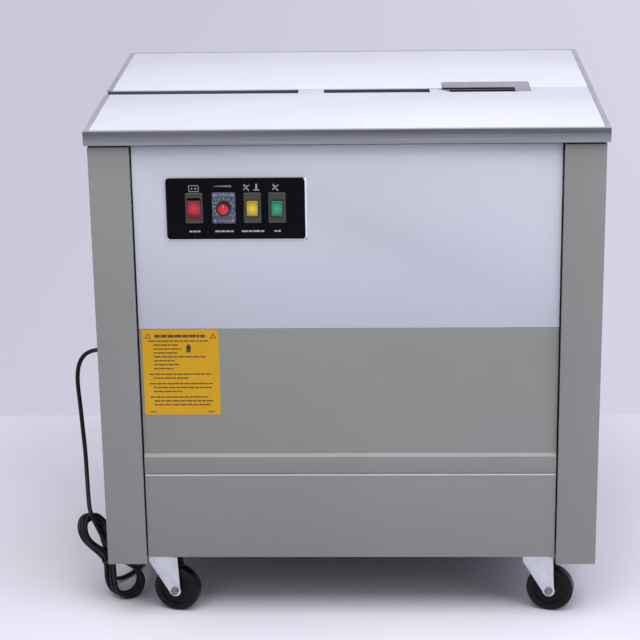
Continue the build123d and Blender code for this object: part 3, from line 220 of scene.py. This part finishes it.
def upper_fold(strand):
    """A teardrop over the top of the hank, from this strand's lane to the next one's."""
    (radius, layer), (next_radius, next_layer) = lanes[strand], lanes[strand + 1]
    points = []
    for step in range(7):
        part, angle = step / 6, math.radians(-30 + 40 * step)
        wide = (radius + (next_radius - radius) * part) / corner_cut
        points.append(in_hank(fold_heights[strand] - wide * math.sin(angle), wide * math.cos(angle),
                              (layer + (next_layer - layer) * part) * lane))
    return points


route = [Vector(point) for point in lead_points]
for along, sideways, outward in ((0, -4, 16), (30, -9, 16), (52, -7, 12)):
    route.append(in_hank(along * mm, sideways * mm, outward * mm))
for strand in range(len(lanes) - 1):
    route += waist(strand, -1) + lower_fold(strand) + waist(strand, 1)[::-1] + upper_fold(strand)
route += waist(4, -1)
route += [Vector(point) for point in plug_points]

cord_line = bpy.data.curves.new("supply_cord", "CURVE")
cord_line.dimensions = "3D"
cord_line.bevel_depth, cord_line.bevel_resolution = cord_diameter / 2, 4
cord_line.resolution_u = 6
spline = cord_line.splines.new("NURBS")
spline.points.add(len(route) - 1)
for knot, point in zip(spline.points, route):
    knot.co = (*point, 1.0)
spline.order_u, spline.use_endpoint_u = 3, True
supply_cord = bpy.data.objects.new("supply_cord", cord_line)
scene.collection.objects.link(supply_cord)

cord_jacket, tree, shader, place = new_material("black PVC cord jacket")
sheen = add(tree, "TexNoise", Vector=place, Scale=60.0, Detail=2.0).outputs["Fac"]
tree.links.new(ramp(tree, sheen, [(0.3, "#0b0b0e"), (0.7, "#111114")]), shader.inputs["Base Color"])
shader.inputs["Roughness"].default_value = 0.42
shader.inputs["Specular IOR Level"].default_value = 0.3
cord_line.materials.append(cord_jacket)
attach(supply_cord, "cabinet")
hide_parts("power_cord", "cord_hank")

# ---- Sheet metal -------------------------------------------------------------------------------
# The cabinet is folded steel sheet. Each finished sheet is the frame's own sheet, welded into one
# skin and with every fold and cut edge eased, as a brake press and a deburring wheel leave it.
body_of = {node: body for body, nodes in frame["record"]["behaviour"]["bodies"].items() for node in nodes}
slot_of = {entry["node"]: entry["material_slot"] for entry in frame["record"]["subparts"]}


def select_only(piece):
    """Makes a piece the only selected and the active object."""
    bpy.ops.object.select_all(action="DESELECT")
    piece.select_set(True)
    bpy.context.view_layer.objects.active = piece


def eased(piece, width, segments=2, angle=28):
    """Rounds the sharp edges of a piece and smooths its shading."""
    select_only(piece)
    rounding = piece.modifiers.new("eased edges", "BEVEL")
    rounding.width, rounding.segments = width, segments
    rounding.limit_method, rounding.angle_limit = "ANGLE", math.radians(angle)
    rounding.use_clamp_overlap = True
    bpy.ops.object.modifier_apply(modifier=rounding.name)
    bpy.ops.object.shade_smooth_by_angle(angle=math.radians(angle + 8))


def finished(piece, material, body, slot, *nodes):
    """Gives a piece its material and body, and lets it stand for CAD nodes. The slot is not used."""
    piece.data.materials.clear()
    piece.data.materials.append(material)
    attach(piece, body)
    if nodes:
        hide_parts(*nodes)
    return piece


def made_from(node, material, width=0.4 * mm, segments=2):
    """The finished piece of one CAD node: its sheet welded, its edges eased and its finish put on."""
    piece = bpy.data.objects.new(node + "_finished", frame["nodes"][node].data.copy())
    scene.collection.objects.link(piece)
    select_only(piece)
    bpy.ops.mesh.customdata_custom_splitnormals_clear()
    bpy.ops.object.mode_set(mode="EDIT")
    bpy.ops.mesh.select_all(action="SELECT")
    bpy.ops.mesh.remove_doubles(threshold=0.002 * mm)
    bpy.ops.mesh.dissolve_limited(angle_limit=math.radians(0.5))
    bpy.ops.object.mode_set(mode="OBJECT")
    if width:
        eased(piece, width, segments)
    else:
        bpy.ops.object.shade_smooth_by_angle(angle=math.radians(30))
    return finished(piece, material, body_of[node], slot_of[node], node)


def second_finish(piece, material, chosen):
    """Gives another finish to the faces of a piece that chosen(face) picks."""
    piece.data.materials.append(material)
    for face in piece.data.polygons:
        face.material_index = int(chosen(face))


def sprayed(name, light, dark, roughness, peel=0.5):
    """Sprayed and baked enamel: faint cloudiness of the colour and the fine ripple of orange peel."""
    material, tree, shader, place = new_material(name)
    cloud = add(tree, "TexNoise", Vector=place, Scale=4.0, Detail=3.0).outputs["Fac"]
    tree.links.new(ramp(tree, cloud, [(0.3, dark), (0.7, light)]), shader.inputs["Base Color"])
    ripple = add(tree, "TexNoise", Vector=place, Scale=420.0, Detail=2.0).outputs["Fac"]
    uneven = add(tree, "MapRange", Value=cloud, To_Min=roughness - 0.04, To_Max=roughness + 0.05)
    tree.links.new(uneven.outputs["Result"], shader.inputs["Roughness"])
    bump = add(tree, "Bump", Height=ripple, Strength=peel * 0.12, Distance=0.0004)
    tree.links.new(bump.outputs["Normal"], shader.inputs["Normal"])
    return material


def brushed(name, light, dark, roughness, stretch):
    """Rolled or brushed steel: long fine streaks along the sheet, 0.3 mm apart."""
    material, tree, shader, place = new_material(name)
    long_way = add(tree, "Mapping", Vector=place, Scale=stretch).outputs["Vector"]
    streak = add(tree, "TexNoise", Vector=long_way, Scale=1.0, Detail=4.0, Roughness=0.6).outputs["Fac"]
    tree.links.new(ramp(tree, streak, [(0.3, dark), (0.7, light)]), shader.inputs["Base Color"])
    uneven = add(tree, "MapRange", Value=streak, To_Min=roughness - 0.06, To_Max=roughness + 0.08)
    tree.links.new(uneven.outputs["Result"], shader.inputs["Roughness"])
    bump = add(tree, "Bump", Height=streak, Strength=0.08, Distance=0.0002)
    tree.links.new(bump.outputs["Normal"], shader.inputs["Normal"])
    shader.inputs["Metallic"].default_value = 1.0
    return material


def moulded(name, light, dark, roughness, texture=900.0, relief=0.1):
    """Moulded plastic or rubber: even colour with the fine spark-eroded texture of the tool."""
    material, tree, shader, place = new_material(name)
    fine = add(tree, "TexNoise", Vector=place, Scale=texture, Detail=2.0).outputs["Fac"]
    tree.links.new(ramp(tree, fine, [(0.3, dark), (0.7, light)]), shader.inputs["Base Color"])
    shader.inputs["Roughness"].default_value = roughness
    bump = add(tree, "Bump", Height=fine, Strength=relief, Distance=0.0002)
    tree.links.new(bump.outputs["Normal"], shader.inputs["Normal"])
    return material


grey_enamel = sprayed("grey powder coat", "#848683", "#80827f", 0.46, peel=1.0)
panel_enamel = sprayed("pale lavender-white enamel", "#c3c5d0", "#bfc1cc", 0.34)
for node in ("lower_front_panel", "kick_panel", "left_side_panel", "right_side_panel", "rear_upper_panel",
             "rear_door", "post_front_left", "post_front_right", "post_rear_left", "post_rear_right"):
    made_from(node, grey_enamel, 0.5 * mm)
made_from("upper_front_panel", panel_enamel, 0.5 * mm)

# The faces of the kick panel's rolled edge and of the rib above it that turn up and forward are painted
# paler: a painted highlight where they catch the light
painted_highlight_coat = sprayed("grey powder coat painted highlight", "#c6c8c6", "#bcbebb", 0.4)
painted_rib_highlight_coat = sprayed("grey powder coat painted rib highlight", "#9c9e9b", "#949693", 0.4)
kick_panel = bpy.data.objects["kick_panel_finished"]
lower_panel = bpy.data.objects["lower_front_panel_finished"]
for panel, coat in ((kick_panel, painted_highlight_coat), (lower_panel, painted_rib_highlight_coat)):
    second_finish(panel, coat, lambda face: face.normal.z > 0.2 and face.normal.y < -0.25)

# The lower panel hangs down to a seam over the kick panel
seam = 1.0 * mm
panel_foot, kick_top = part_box("lower_front_panel")[0].z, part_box("kick_panel")[1].z
for corner in lower_panel.data.vertices:
    if corner.co.z < panel_foot + 0.6 * mm:
        corner.co.z -= panel_foot - kick_top - seam

dark_enamel = sprayed("dark frame paint", "#3d4042", "#34373a", 0.5)
zinc_plate = brushed("bright zinc plate", "#dadce2", "#c2c4ca", 0.34, (40.0, 40.0, 40.0))
for node in ("base_frame", "top_frame", "reel_bracket", "electrical_box"):
    made_from(node, dark_enamel, 0.6 * mm)
for node in ("hinge_brackets", "strap_pool_box", "caster_plates"):
    made_from(node, zinc_plate, 0.25 * mm)

# ---- Table -------------------------------------------------------------------------------------
# Two white enamelled leaves in stainless edging, with the strap channel and the steel slide plate of
# the sealing head between them.
white_enamel = sprayed("white baked enamel", "#d6d8e2", "#d1d3de", 0.30)
edging_steel = brushed("stainless edging", "#a0a2a6", "#76797d", 0.3, (4.0, 4.0, 1600.0))
lip_steel = brushed("polished edging lip", "#dcdee2", "#c4c6cc", 0.35, (4.0, 4.0, 1600.0))
for node in ("front_table_cover", "rear_table_cover"):
    made_from(node, white_enamel, 0.3 * mm)
for node in ("front_table_trim", "rear_table_trim"):
    second_finish(made_from(node, edging_steel, 0.3 * mm), lip_steel, lambda face: face.normal.z > 0.5)

channel_steel = brushed("darkened channel steel", "#6c6e72", "#515357", 0.4, (1400.0, 6.0, 6.0))
ground_steel = brushed("ground steel", "#d0d2d6", "#b2b4b8", 0.28, (1400.0, 6.0, 6.0))
slot_shade_black = moulded("near-black painted slot shade", "#0e0e10", "#09090b", 0.5)
made_from("strap_channel", channel_steel, 0.25 * mm)
slide_plate = made_from("slide_plate", ground_steel, 0.25 * mm)
# The slide plate's front face, a wall of the strap slot, is painted near-black: painted shade in the slot
second_finish(slide_plate, slot_shade_black, lambda face: face.normal.y < -0.5)

# ---- Sealing head and drive --------------------------------------------------------------------
# Under the table: the head's casting, its pushers and cams, the motor with its cooling fins, the belt
# and the rollers.
cast_paint = sprayed("painted casting", "#7c8084", "#6c7074", 0.5, peel=2.0)
machine_paint = sprayed("blue-grey machine paint", "#4c5c68", "#43525d", 0.42)
black_plastic = moulded("black ABS", "#16181b", "#101214", 0.42)
roller_tyre = moulded("urethane tyre", "#a2602c", "#8c5024", 0.5)
for node in ("head_frame", "motor_pulley", "gearbox_pulley"):
    made_from(node, cast_paint, 0.4 * mm)
slot_walls_from = 0.78              # above this height the casting's sides are the walls of the strap slot
# Above that height the casting's sides are painted near-black: painted shade in the strap slot
second_finish(bpy.data.objects["head_frame_finished"], slot_shade_black,
              lambda face: face.center.z > slot_walls_from and abs(face.normal.z) < 0.7)
for node in ("gripper_set", "cam_shaft"):
    made_from(node, ground_steel, 0.25 * mm)
made_from("gearbox", machine_paint, 0.8 * mm)
made_from("drive_motor", machine_paint, 0.6 * mm)
made_from("drive_belt", black_plastic, 0.3 * mm)
for node in ("feed_roller", "pinch_roller"):
    made_from(node, roller_tyre, 0.6 * mm)

fin_count, fin_gauge, fin_pitch, first_fin_y = 9, 1.6 * mm, 8 * mm, -0.058
pulley_low, pulley_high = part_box("motor_pulley")
motor_axis = (pulley_low + pulley_high) / 2
fin_radius = motor_axis.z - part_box("drive_motor")[0].z + 2 * mm
bpy.ops.object.select_all(action="DESELECT")
fins = []
for step in range(fin_count):
    bpy.ops.mesh.primitive_cylinder_add(vertices=64, radius=fin_radius, depth=fin_gauge,
                                        location=(motor_axis.x, first_fin_y + step * fin_pitch, motor_axis.z),
                                        rotation=(math.pi / 2, 0, 0))
    fins.append(bpy.context.object)


def joined(name, parts):
    """Parts as one piece, its origin at the frame's origin."""
    bpy.ops.object.select_all(action="DESELECT")
    for part in parts:
        part.select_set(True)
    bpy.context.view_layer.objects.active = parts[0]
    if len(parts) > 1:
        bpy.ops.object.join()
    bpy.ops.object.transform_apply(location=True, rotation=True, scale=True)
    piece = bpy.context.object
    piece.name = name
    matrix = piece.matrix_world.copy()
    piece.data.transform(matrix)
    piece.matrix_world = Matrix.Identity(4)
    return piece


cooling_fins = joined("motor_fins", fins)
eased(cooling_fins, 0.3 * mm)
finished(cooling_fins, machine_paint, "cabinet", "motor_paint")

# ---- Strap reel --------------------------------------------------------------------------------
# A coil of polypropylene strap between two painted flanges. Its side shows the edges of the turns as
# fine rings round the reel's axis.
coil_low, coil_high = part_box("strap_coil")
coil_middle = (coil_low + coil_high) / 2
for node in ("reel_inner_flange", "reel_outer_flange"):
    made_from(node, dark_enamel, 0.5 * mm)
strap_wound, tree, shader, place = new_material("wound polypropylene strap")
centred = add(tree, "Mapping", Vector=place, Location=(-coil_middle.x, 0, -coil_middle.z)).outputs["Vector"]
turns = add(tree, "TexWave", {"wave_type": "RINGS", "rings_direction": "Y"}, Vector=centred, Scale=190.0,
            Distortion=0.6).outputs["Fac"]
tree.links.new(ramp(tree, turns, [(0.2, "#c9b660"), (0.8, "#ece08e")]), shader.inputs["Base Color"])
shader.inputs["Roughness"].default_value = 0.38
bump = add(tree, "Bump", Height=turns, Strength=0.4, Distance=0.0005)
tree.links.new(bump.outputs["Normal"], shader.inputs["Normal"])
made_from("strap_coil", strap_wound, 0.8 * mm)

# ---- Control plate -----------------------------------------------------------------------------
# A satin black plate with a milled right edge; white strips that show on its right and below it are a painted
# highlight of its lit edges.
# Above and under each switch stand printed marks without words: a lamp sign, a rising scale, and the
# signs for one more pull and for sealing.
black_satin = moulded("satin black enamel", "#0b0d12", "#08090e", 0.3, texture=200.0, relief=0.02)
black_satin.node_tree.nodes["Principled BSDF"].inputs["Specular IOR Level"].default_value = 0.05
milled_edge = brushed("milled aluminium edge", "#e4e5ea", "#c8cacf", 0.25, (60.0, 60.0, 60.0))
edge_highlight_white = moulded("white painted edge highlight", "#f6f6f8", "#eeeef2", 0.4)
print_ink = moulded("pale screen print", "#a4a7ae", "#94979e", 0.5)
plate_low, plate_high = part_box("control_plate")
second_finish(made_from("control_plate", black_satin, 0), milled_edge,
              lambda face: face.normal.x > 0.5 and face.center.x > plate_high.x - 6 * mm)

# The white strips behind the plate are a painted highlight: the bright lines along its right and lower edges
highlight_strip_gauge = 0.6 * mm
plate_middle, plate_size = (plate_low + plate_high) / 2, plate_high - plate_low
bpy.ops.object.select_all(action="DESELECT")
strips = []
right_strip = (plate_high.x + 0.5 * mm, plate_middle.z - 0.8 * mm, 3.0 * mm, plate_size.z + 1.2 * mm)
foot_strip = (plate_middle.x + 0.9 * mm, plate_low.z, plate_size.x + 2.2 * mm, 2.6 * mm)
for x, z, width, tall in (right_strip, foot_strip):
    bpy.ops.mesh.primitive_cube_add(size=1, location=(x, plate_high.y - highlight_strip_gauge / 2, z))
    bpy.context.object.scale = (width, highlight_strip_gauge, tall)
    strips.append(bpy.context.object)
plate_edge_highlight = joined("plate_edge_highlight", strips)
eased(plate_edge_highlight, 0.25 * mm)
finished(plate_edge_highlight, edge_highlight_white, "cabinet", "black_plate")

print_face = plate_low.y
ink_gauge, ink_sunk = 0.16 * mm, 0.02 * mm


def block(x, z, width, tall, y=print_face, thick=ink_gauge, turned=0.0):
    """A flat printed mark or small bar that stands on a face turned to the operator."""
    bpy.ops.mesh.primitive_cube_add(size=1, location=(x, y - thick / 2 + ink_sunk, z),
                                    rotation=(0, turned, 0))
    bar = bpy.context.object
    bar.scale = (width, thick, tall)
    return bar


def disc(x, z, radius, y=print_face, thick=ink_gauge, sides=24):
    """A round printed mark."""
    bpy.ops.mesh.primitive_cylinder_add(vertices=sides, radius=radius, depth=thick,
                                        location=(x, y - thick / 2 + ink_sunk, z),
                                        rotation=(math.pi / 2, 0, 0))
    return bpy.context.object


def middle(node):
    """The middle of a CAD node's box."""
    low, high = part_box(node)
    return (low + high) / 2


power_at, dial_at = middle("power_bezel"), middle("dial_plate")
yellow_at, green_at = middle("yellow_bezel"), middle("green_bezel")
icon_z = plate_high.z - 14.5 * mm
caption_z = plate_low.z + 12.5 * mm
word_space = 1.2
bpy.ops.object.select_all(action="DESELECT")
marks = []
for dx, dz, width, tall in ((0, 4.6, 15, 0.9), (0, -4.6, 15, 0.9), (-7.1, 0, 0.9, 9.6), (7.1, 0, 0.9, 9.6),
                            (-2.6, 0, 1.8, 2.6), (2.6, 0, 1.8, 2.6)):
    marks.append(block(power_at.x + dx * mm, icon_z - 1 * mm + dz * mm, width * mm, tall * mm))
for step in range(9):
    marks.append(block(dial_at.x + (step * 3.1 - 14) * mm, icon_z + 2.5 * mm, 1.7 * mm,
                       (0.7 + step * 0.28) * mm))
for centre in (yellow_at.x - 8.5 * mm, green_at.x - 2 * mm):
    marks.append(disc(centre - 3 * mm, icon_z + 4.2 * mm, 1.3 * mm))
    marks.append(block(centre, icon_z - 0.4 * mm, 1.5 * mm, 12 * mm, turned=math.radians(-42)))
    marks.append(block(centre - 1.6 * mm, icon_z - 0.2 * mm, 1.3 * mm, 8.5 * mm, turned=math.radians(38)))
    marks.append(block(centre + 2.8 * mm, icon_z + 2.8 * mm, 1.1 * mm, 5 * mm, turned=math.radians(55)))
seal_x = yellow_at.x + 6.5 * mm
marks.append(disc(seal_x, icon_z + 4.4 * mm, 1.3 * mm))
marks.append(block(seal_x, icon_z - 0.4 * mm, 2.6 * mm, 7 * mm))
marks.append(block(seal_x, icon_z - 3.6 * mm, 8.5 * mm, 1.6 * mm))
for centre, widths in ((power_at.x, (4.5, 5.5, 4.0)), (dial_at.x, (7.5, 6.0, 6.5, 4.0)),
                       (yellow_at.x, (9.0, 5.5, 10.5, 5.0)), (green_at.x, (4.0, 4.5))):
    reach = -(sum(widths) + word_space * (len(widths) - 1)) / 2
    for width in widths:
        marks.append(block(centre + (reach + width / 2) * mm, caption_z, width * mm, 2.6 * mm))
        reach += width + word_space
finished(joined("printed_marks", marks), print_ink, "cabinet", "black_plate")

# ---- Switches ----------------------------------------------------------------------------------
# Lit caps in dark smoked frames: a red rocker, a yellow and a green push button, and a red knob on a
# grey plate with a ring of dots.
smoked_plastic = moulded("dark smoked plastic", "#3c3a38", "#333230", 0.3)
for node in ("power_bezel", "yellow_bezel", "green_bezel"):
    made_from(node, smoked_plastic, 0.25 * mm)


def lit_cap(name, heart, rim, at, reach):
    """Coloured translucent plastic with a lamp behind its middle."""
    material, tree, shader, place = new_material(name)
    centred = add(tree, "Mapping", Vector=place, Location=(-at.x, 0, -at.z)).outputs["Vector"]
    flat = add(tree, "VectorMath", {"operation": "MULTIPLY"}, i0=centred, i1=(1, 0, 1)).outputs["Vector"]
    away = add(tree, "VectorMath", {"operation": "LENGTH"}, i0=flat).outputs["Value"]
    spread = add(tree, "MapRange", Value=away, From_Max=reach).outputs["Result"]
    glow = ramp(tree, spread, [(0.1, heart), (0.9, rim)])
    tree.links.new(glow, shader.inputs["Base Color"])
    tree.links.new(glow, shader.inputs["Emission Color"])
    shader.inputs["Roughness"].default_value = 0.22
    shader.inputs["Coat Weight"].default_value = 0.15
    shader.inputs["Emission Strength"].default_value = 0.05
    return material


red_cap = lit_cap("red translucent cap", "#cc1228", "#700616", power_at, 13 * mm)
yellow_cap = lit_cap("yellow translucent cap", "#d8c430", "#96820f", yellow_at, 12 * mm)
green_cap = lit_cap("green translucent cap", "#249a70", "#106446", green_at, 12 * mm)
made_from("power_rocker", red_cap, 0.5 * mm)
made_from("yellow_button", yellow_cap, 0.4 * mm)
made_from("green_button", green_cap, 0.4 * mm)

dial_grey = moulded("speckled dial plate", "#656c82", "#262b3c", 0.4, texture=380.0)
made_from("dial_plate", dial_grey, 0.2 * mm)
dial_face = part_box("dial_plate")[0].y
bpy.ops.object.select_all(action="DESELECT")
ring = []
dots, dot_circle = 11, 14.2 * mm
for step in range(dots):
    angle = math.radians(-45 + step * 27)
    ring.append(disc(dial_at.x + dot_circle * math.cos(angle), dial_at.z + dot_circle * math.sin(angle),
                     (0.9 + 0.05 * step) * mm, y=dial_face, sides=12))
for dx, dz in ((-1, 1), (1, 1), (-1, -1), (1, -1)):
    ring.append(disc(dial_at.x + dx * 13.5 * mm, dial_at.z + dz * 19.5 * mm, 1.5 * mm, y=dial_face))
for step in range(7):
    for side in (1, -1):
        ring.append(block(dial_at.x + (step * 3.4 - 10.2) * mm, dial_at.z + side * 20 * mm, 1.4 * mm,
                          1.4 * mm, y=dial_face))
finished(joined("dial_dots", ring), print_ink, "cabinet", "dial_grey")

knob_dark = moulded("black knob skirt", "#1b1216", "#140d10", 0.4)
knob_red = moulded("red knob cap", "#d41a2a", "#c41222", 0.28)
knob = made_from("dial_knob", knob_dark, 0.25 * mm)
cap_recess = 0.5 * mm
knob_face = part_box("dial_knob")[0].y + cap_recess
for corner in knob.data.vertices:
    corner.co.y = max(corner.co.y, knob_face)
bpy.ops.object.select_all(action="DESELECT")
knob_top = disc(dial_at.x, dial_at.z, 7.6 * mm, y=knob_face, thick=0.4 * mm, sides=48)
knob_cap = joined("knob_cap", [knob_top])
eased(knob_cap, 0.15 * mm)
finished(knob_cap, knob_red, "dial", "red_plastic")
bpy.ops.object.select_all(action="DESELECT")
pointer_bar = block(dial_at.x, dial_at.z + 4.6 * mm, 1.2 * mm, 5 * mm, y=knob_face - 0.34 * mm,
                    thick=0.14 * mm)
pointer = joined("knob_pointer", [pointer_bar])
finished(pointer, print_ink, "dial", "red_plastic")

# ---- Instruction label -------------------------------------------------------------------------
# Yellow film with dark print. The lines stand for wording, so they are only bars, with a heading
# between two triangles and one small hand sign.
label_film, tree, shader, place = new_material("yellow label film")
fade = add(tree, "TexNoise", Vector=place, Scale=9.0, Detail=2.0).outputs["Fac"]
tree.links.new(ramp(tree, fade, [(0.3, "#c6960c"), (0.7, "#ce9e12")]), shader.inputs["Base Color"])
shader.inputs["Roughness"].default_value = 0.4
shader.inputs["Specular IOR Level"].default_value = 0.25
label_ink = moulded("dark brown print", "#5a3f0e", "#4c350b", 0.5)
made_from("safety_label", label_film, 0)
label_low, label_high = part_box("safety_label")
label_y = label_low.y
left, right = label_low.x + 9 * mm, label_high.x - 9 * mm
bpy.ops.object.select_all(action="DESELECT")
print_bars = []
chance = random.Random(5)


def line_of_words(z, start, end, tall):
    """A row of bars as long as words."""
    x = start
    while x < end - 2 * mm:
        word = min(chance.uniform(4, 11) * mm, end - x)
        print_bars.append(block(x + word / 2, z, word, tall, y=label_y))
        x += word + 1.3 * mm


for side in (-1, 1):
    corner_x = (label_low.x + label_high.x) / 2 + side * 50 * mm
    for dx, dz, turned in ((-2.2, 0, 30), (2.2, 0, -30), (0, -3.6, 90)):
        print_bars.append(block(corner_x + dx * mm, label_high.z - 9.5 * mm + dz * mm, 1.1 * mm, 8.6 * mm,
                                y=label_y, turned=math.radians(turned)))
line_of_words(label_high.z - 10 * mm, left + 10 * mm, right - 10 * mm, 4.6 * mm)
icon_at = ((label_low.x + label_high.x) / 2 + 12 * mm, label_high.z - 32 * mm)
print_bars.append(block(icon_at[0], icon_at[1], 7 * mm, 9 * mm, y=label_y))
print_bars.append(disc(icon_at[0], icon_at[1] + 5.5 * mm, 3.2 * mm, y=label_y))
row_z, row_pitch, paragraph_gap = label_high.z - 18 * mm, 6.4 * mm, 2.8 * mm
paragraphs = (((0, 92), (8, 46), (8, 50), (8, 44), (8, 88), (8, 40), (8, 48), (8, 38)), ((0, 96), (6, 60)),
              ((0, 98), (6, 96), (6, 50)), ((0, 90), (6, 98), (6, 94)))
for paragraph in paragraphs:
    for start, end in paragraph:
        line_of_words(row_z, left + start * mm, min(right, left + end * mm), 2.0 * mm)
        row_z -= row_pitch
    row_z -= paragraph_gap
for x in (left + 4 * mm, right - 6 * mm):
    print_bars.append(block(x, label_low.z + 5 * mm, 9 * mm, 1.6 * mm, y=label_y))
finished(joined("label_print", print_bars), label_ink, "cabinet", "label_film")

# ---- Casters -----------------------------------------------------------------------------------
# Pressed zinc-plated forks with hexagon axle bolts, and black wheels whose tread is smoother and
# glossier than the webs of their hubs.
wheel_rubber = moulded("black rubber", "#101012", "#0b0b0d", 0.6)
tread_rubber = moulded("polished black tread", "#0e0e10", "#0a0a0c", 0.32, texture=500.0)
bolt_steel = brushed("dulled bolt zinc", "#8e9094", "#74767a", 0.45, (40.0, 40.0, 40.0))
for rubber in (tread_rubber, wheel_rubber):
    rubber.node_tree.nodes["Principled BSDF"].inputs["Specular IOR Level"].default_value = 0.2
bolt_head, crown_from, tread_from = 4.4 * mm, 60 * mm, 0.74
for corner in ("front_left", "front_right", "rear_left", "rear_right"):
    fork_low, fork_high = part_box("caster_fork_" + corner)
    second_finish(made_from("caster_fork_" + corner, zinc_plate, 0.4 * mm), bolt_steel,
                  lambda face: face.center.z < crown_from
                  and not fork_low.y + bolt_head < face.center.y < fork_high.y - bolt_head)
    hub = middle("caster_wheel_" + corner)
    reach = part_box("caster_wheel_" + corner)[1].z - hub.z
    second_finish(made_from("caster_wheel_" + corner, wheel_rubber, 0.4 * mm), tread_rubber,
                  lambda face: (face.center - hub).length > tread_from * reach)

# ---- Cord fittings -----------------------------------------------------------------------------
# The ribbed strain relief at the side panel, the wire tie round the hank and the plug.
made_from("cord_gland", black_plastic, 0.4 * mm)
bpy.ops.object.select_all(action="DESELECT")
gland_low, gland_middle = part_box("cord_gland")[0], middle("cord_gland")
ribs = []
for step in range(4):
    bpy.ops.mesh.primitive_torus_add(major_segments=32, minor_segments=8,
                                     major_radius=(5.6 - 0.45 * step) * mm,
                                     minor_radius=0.9 * mm, rotation=(0, math.pi / 2, 0),
                                     location=(gland_low.x + (11 - 3 * step) * mm, gland_middle.y,
                                               gland_middle.z))
    ribs.append(bpy.context.object)
relief_ribs = joined("strain_relief_ribs", ribs)
bpy.ops.object.shade_smooth()
finished(relief_ribs, black_plastic, "cabinet", "black_plastic")

bpy.ops.object.select_all(action="DESELECT")
bpy.ops.mesh.primitive_torus_add(major_segments=40, minor_segments=8, major_radius=1, minor_radius=0.1)
tie = bpy.context.object
wide_way = (across + through).normalized()
frame_of_tie = Matrix((wide_way, down.cross(wide_way), down)).transposed().to_4x4()
tie.data.transform(Matrix.Diagonal((17 * mm, 13.5 * mm, 16 * mm, 1)))
tie.data.transform(Matrix.Translation(in_hank(tie_at, 0, 0)) @ frame_of_tie)
tie.name = "wire_tie"
bpy.ops.object.shade_smooth()
finished(tie, black_plastic, "cabinet", "black_plastic")

plug_body = made_from("cord_plug", black_plastic, 0.6 * mm)
pins_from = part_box("cord_plug")[1].y - 18.5 * mm
second_finish(plug_body, milled_edge, lambda face: face.center.y > pins_from)
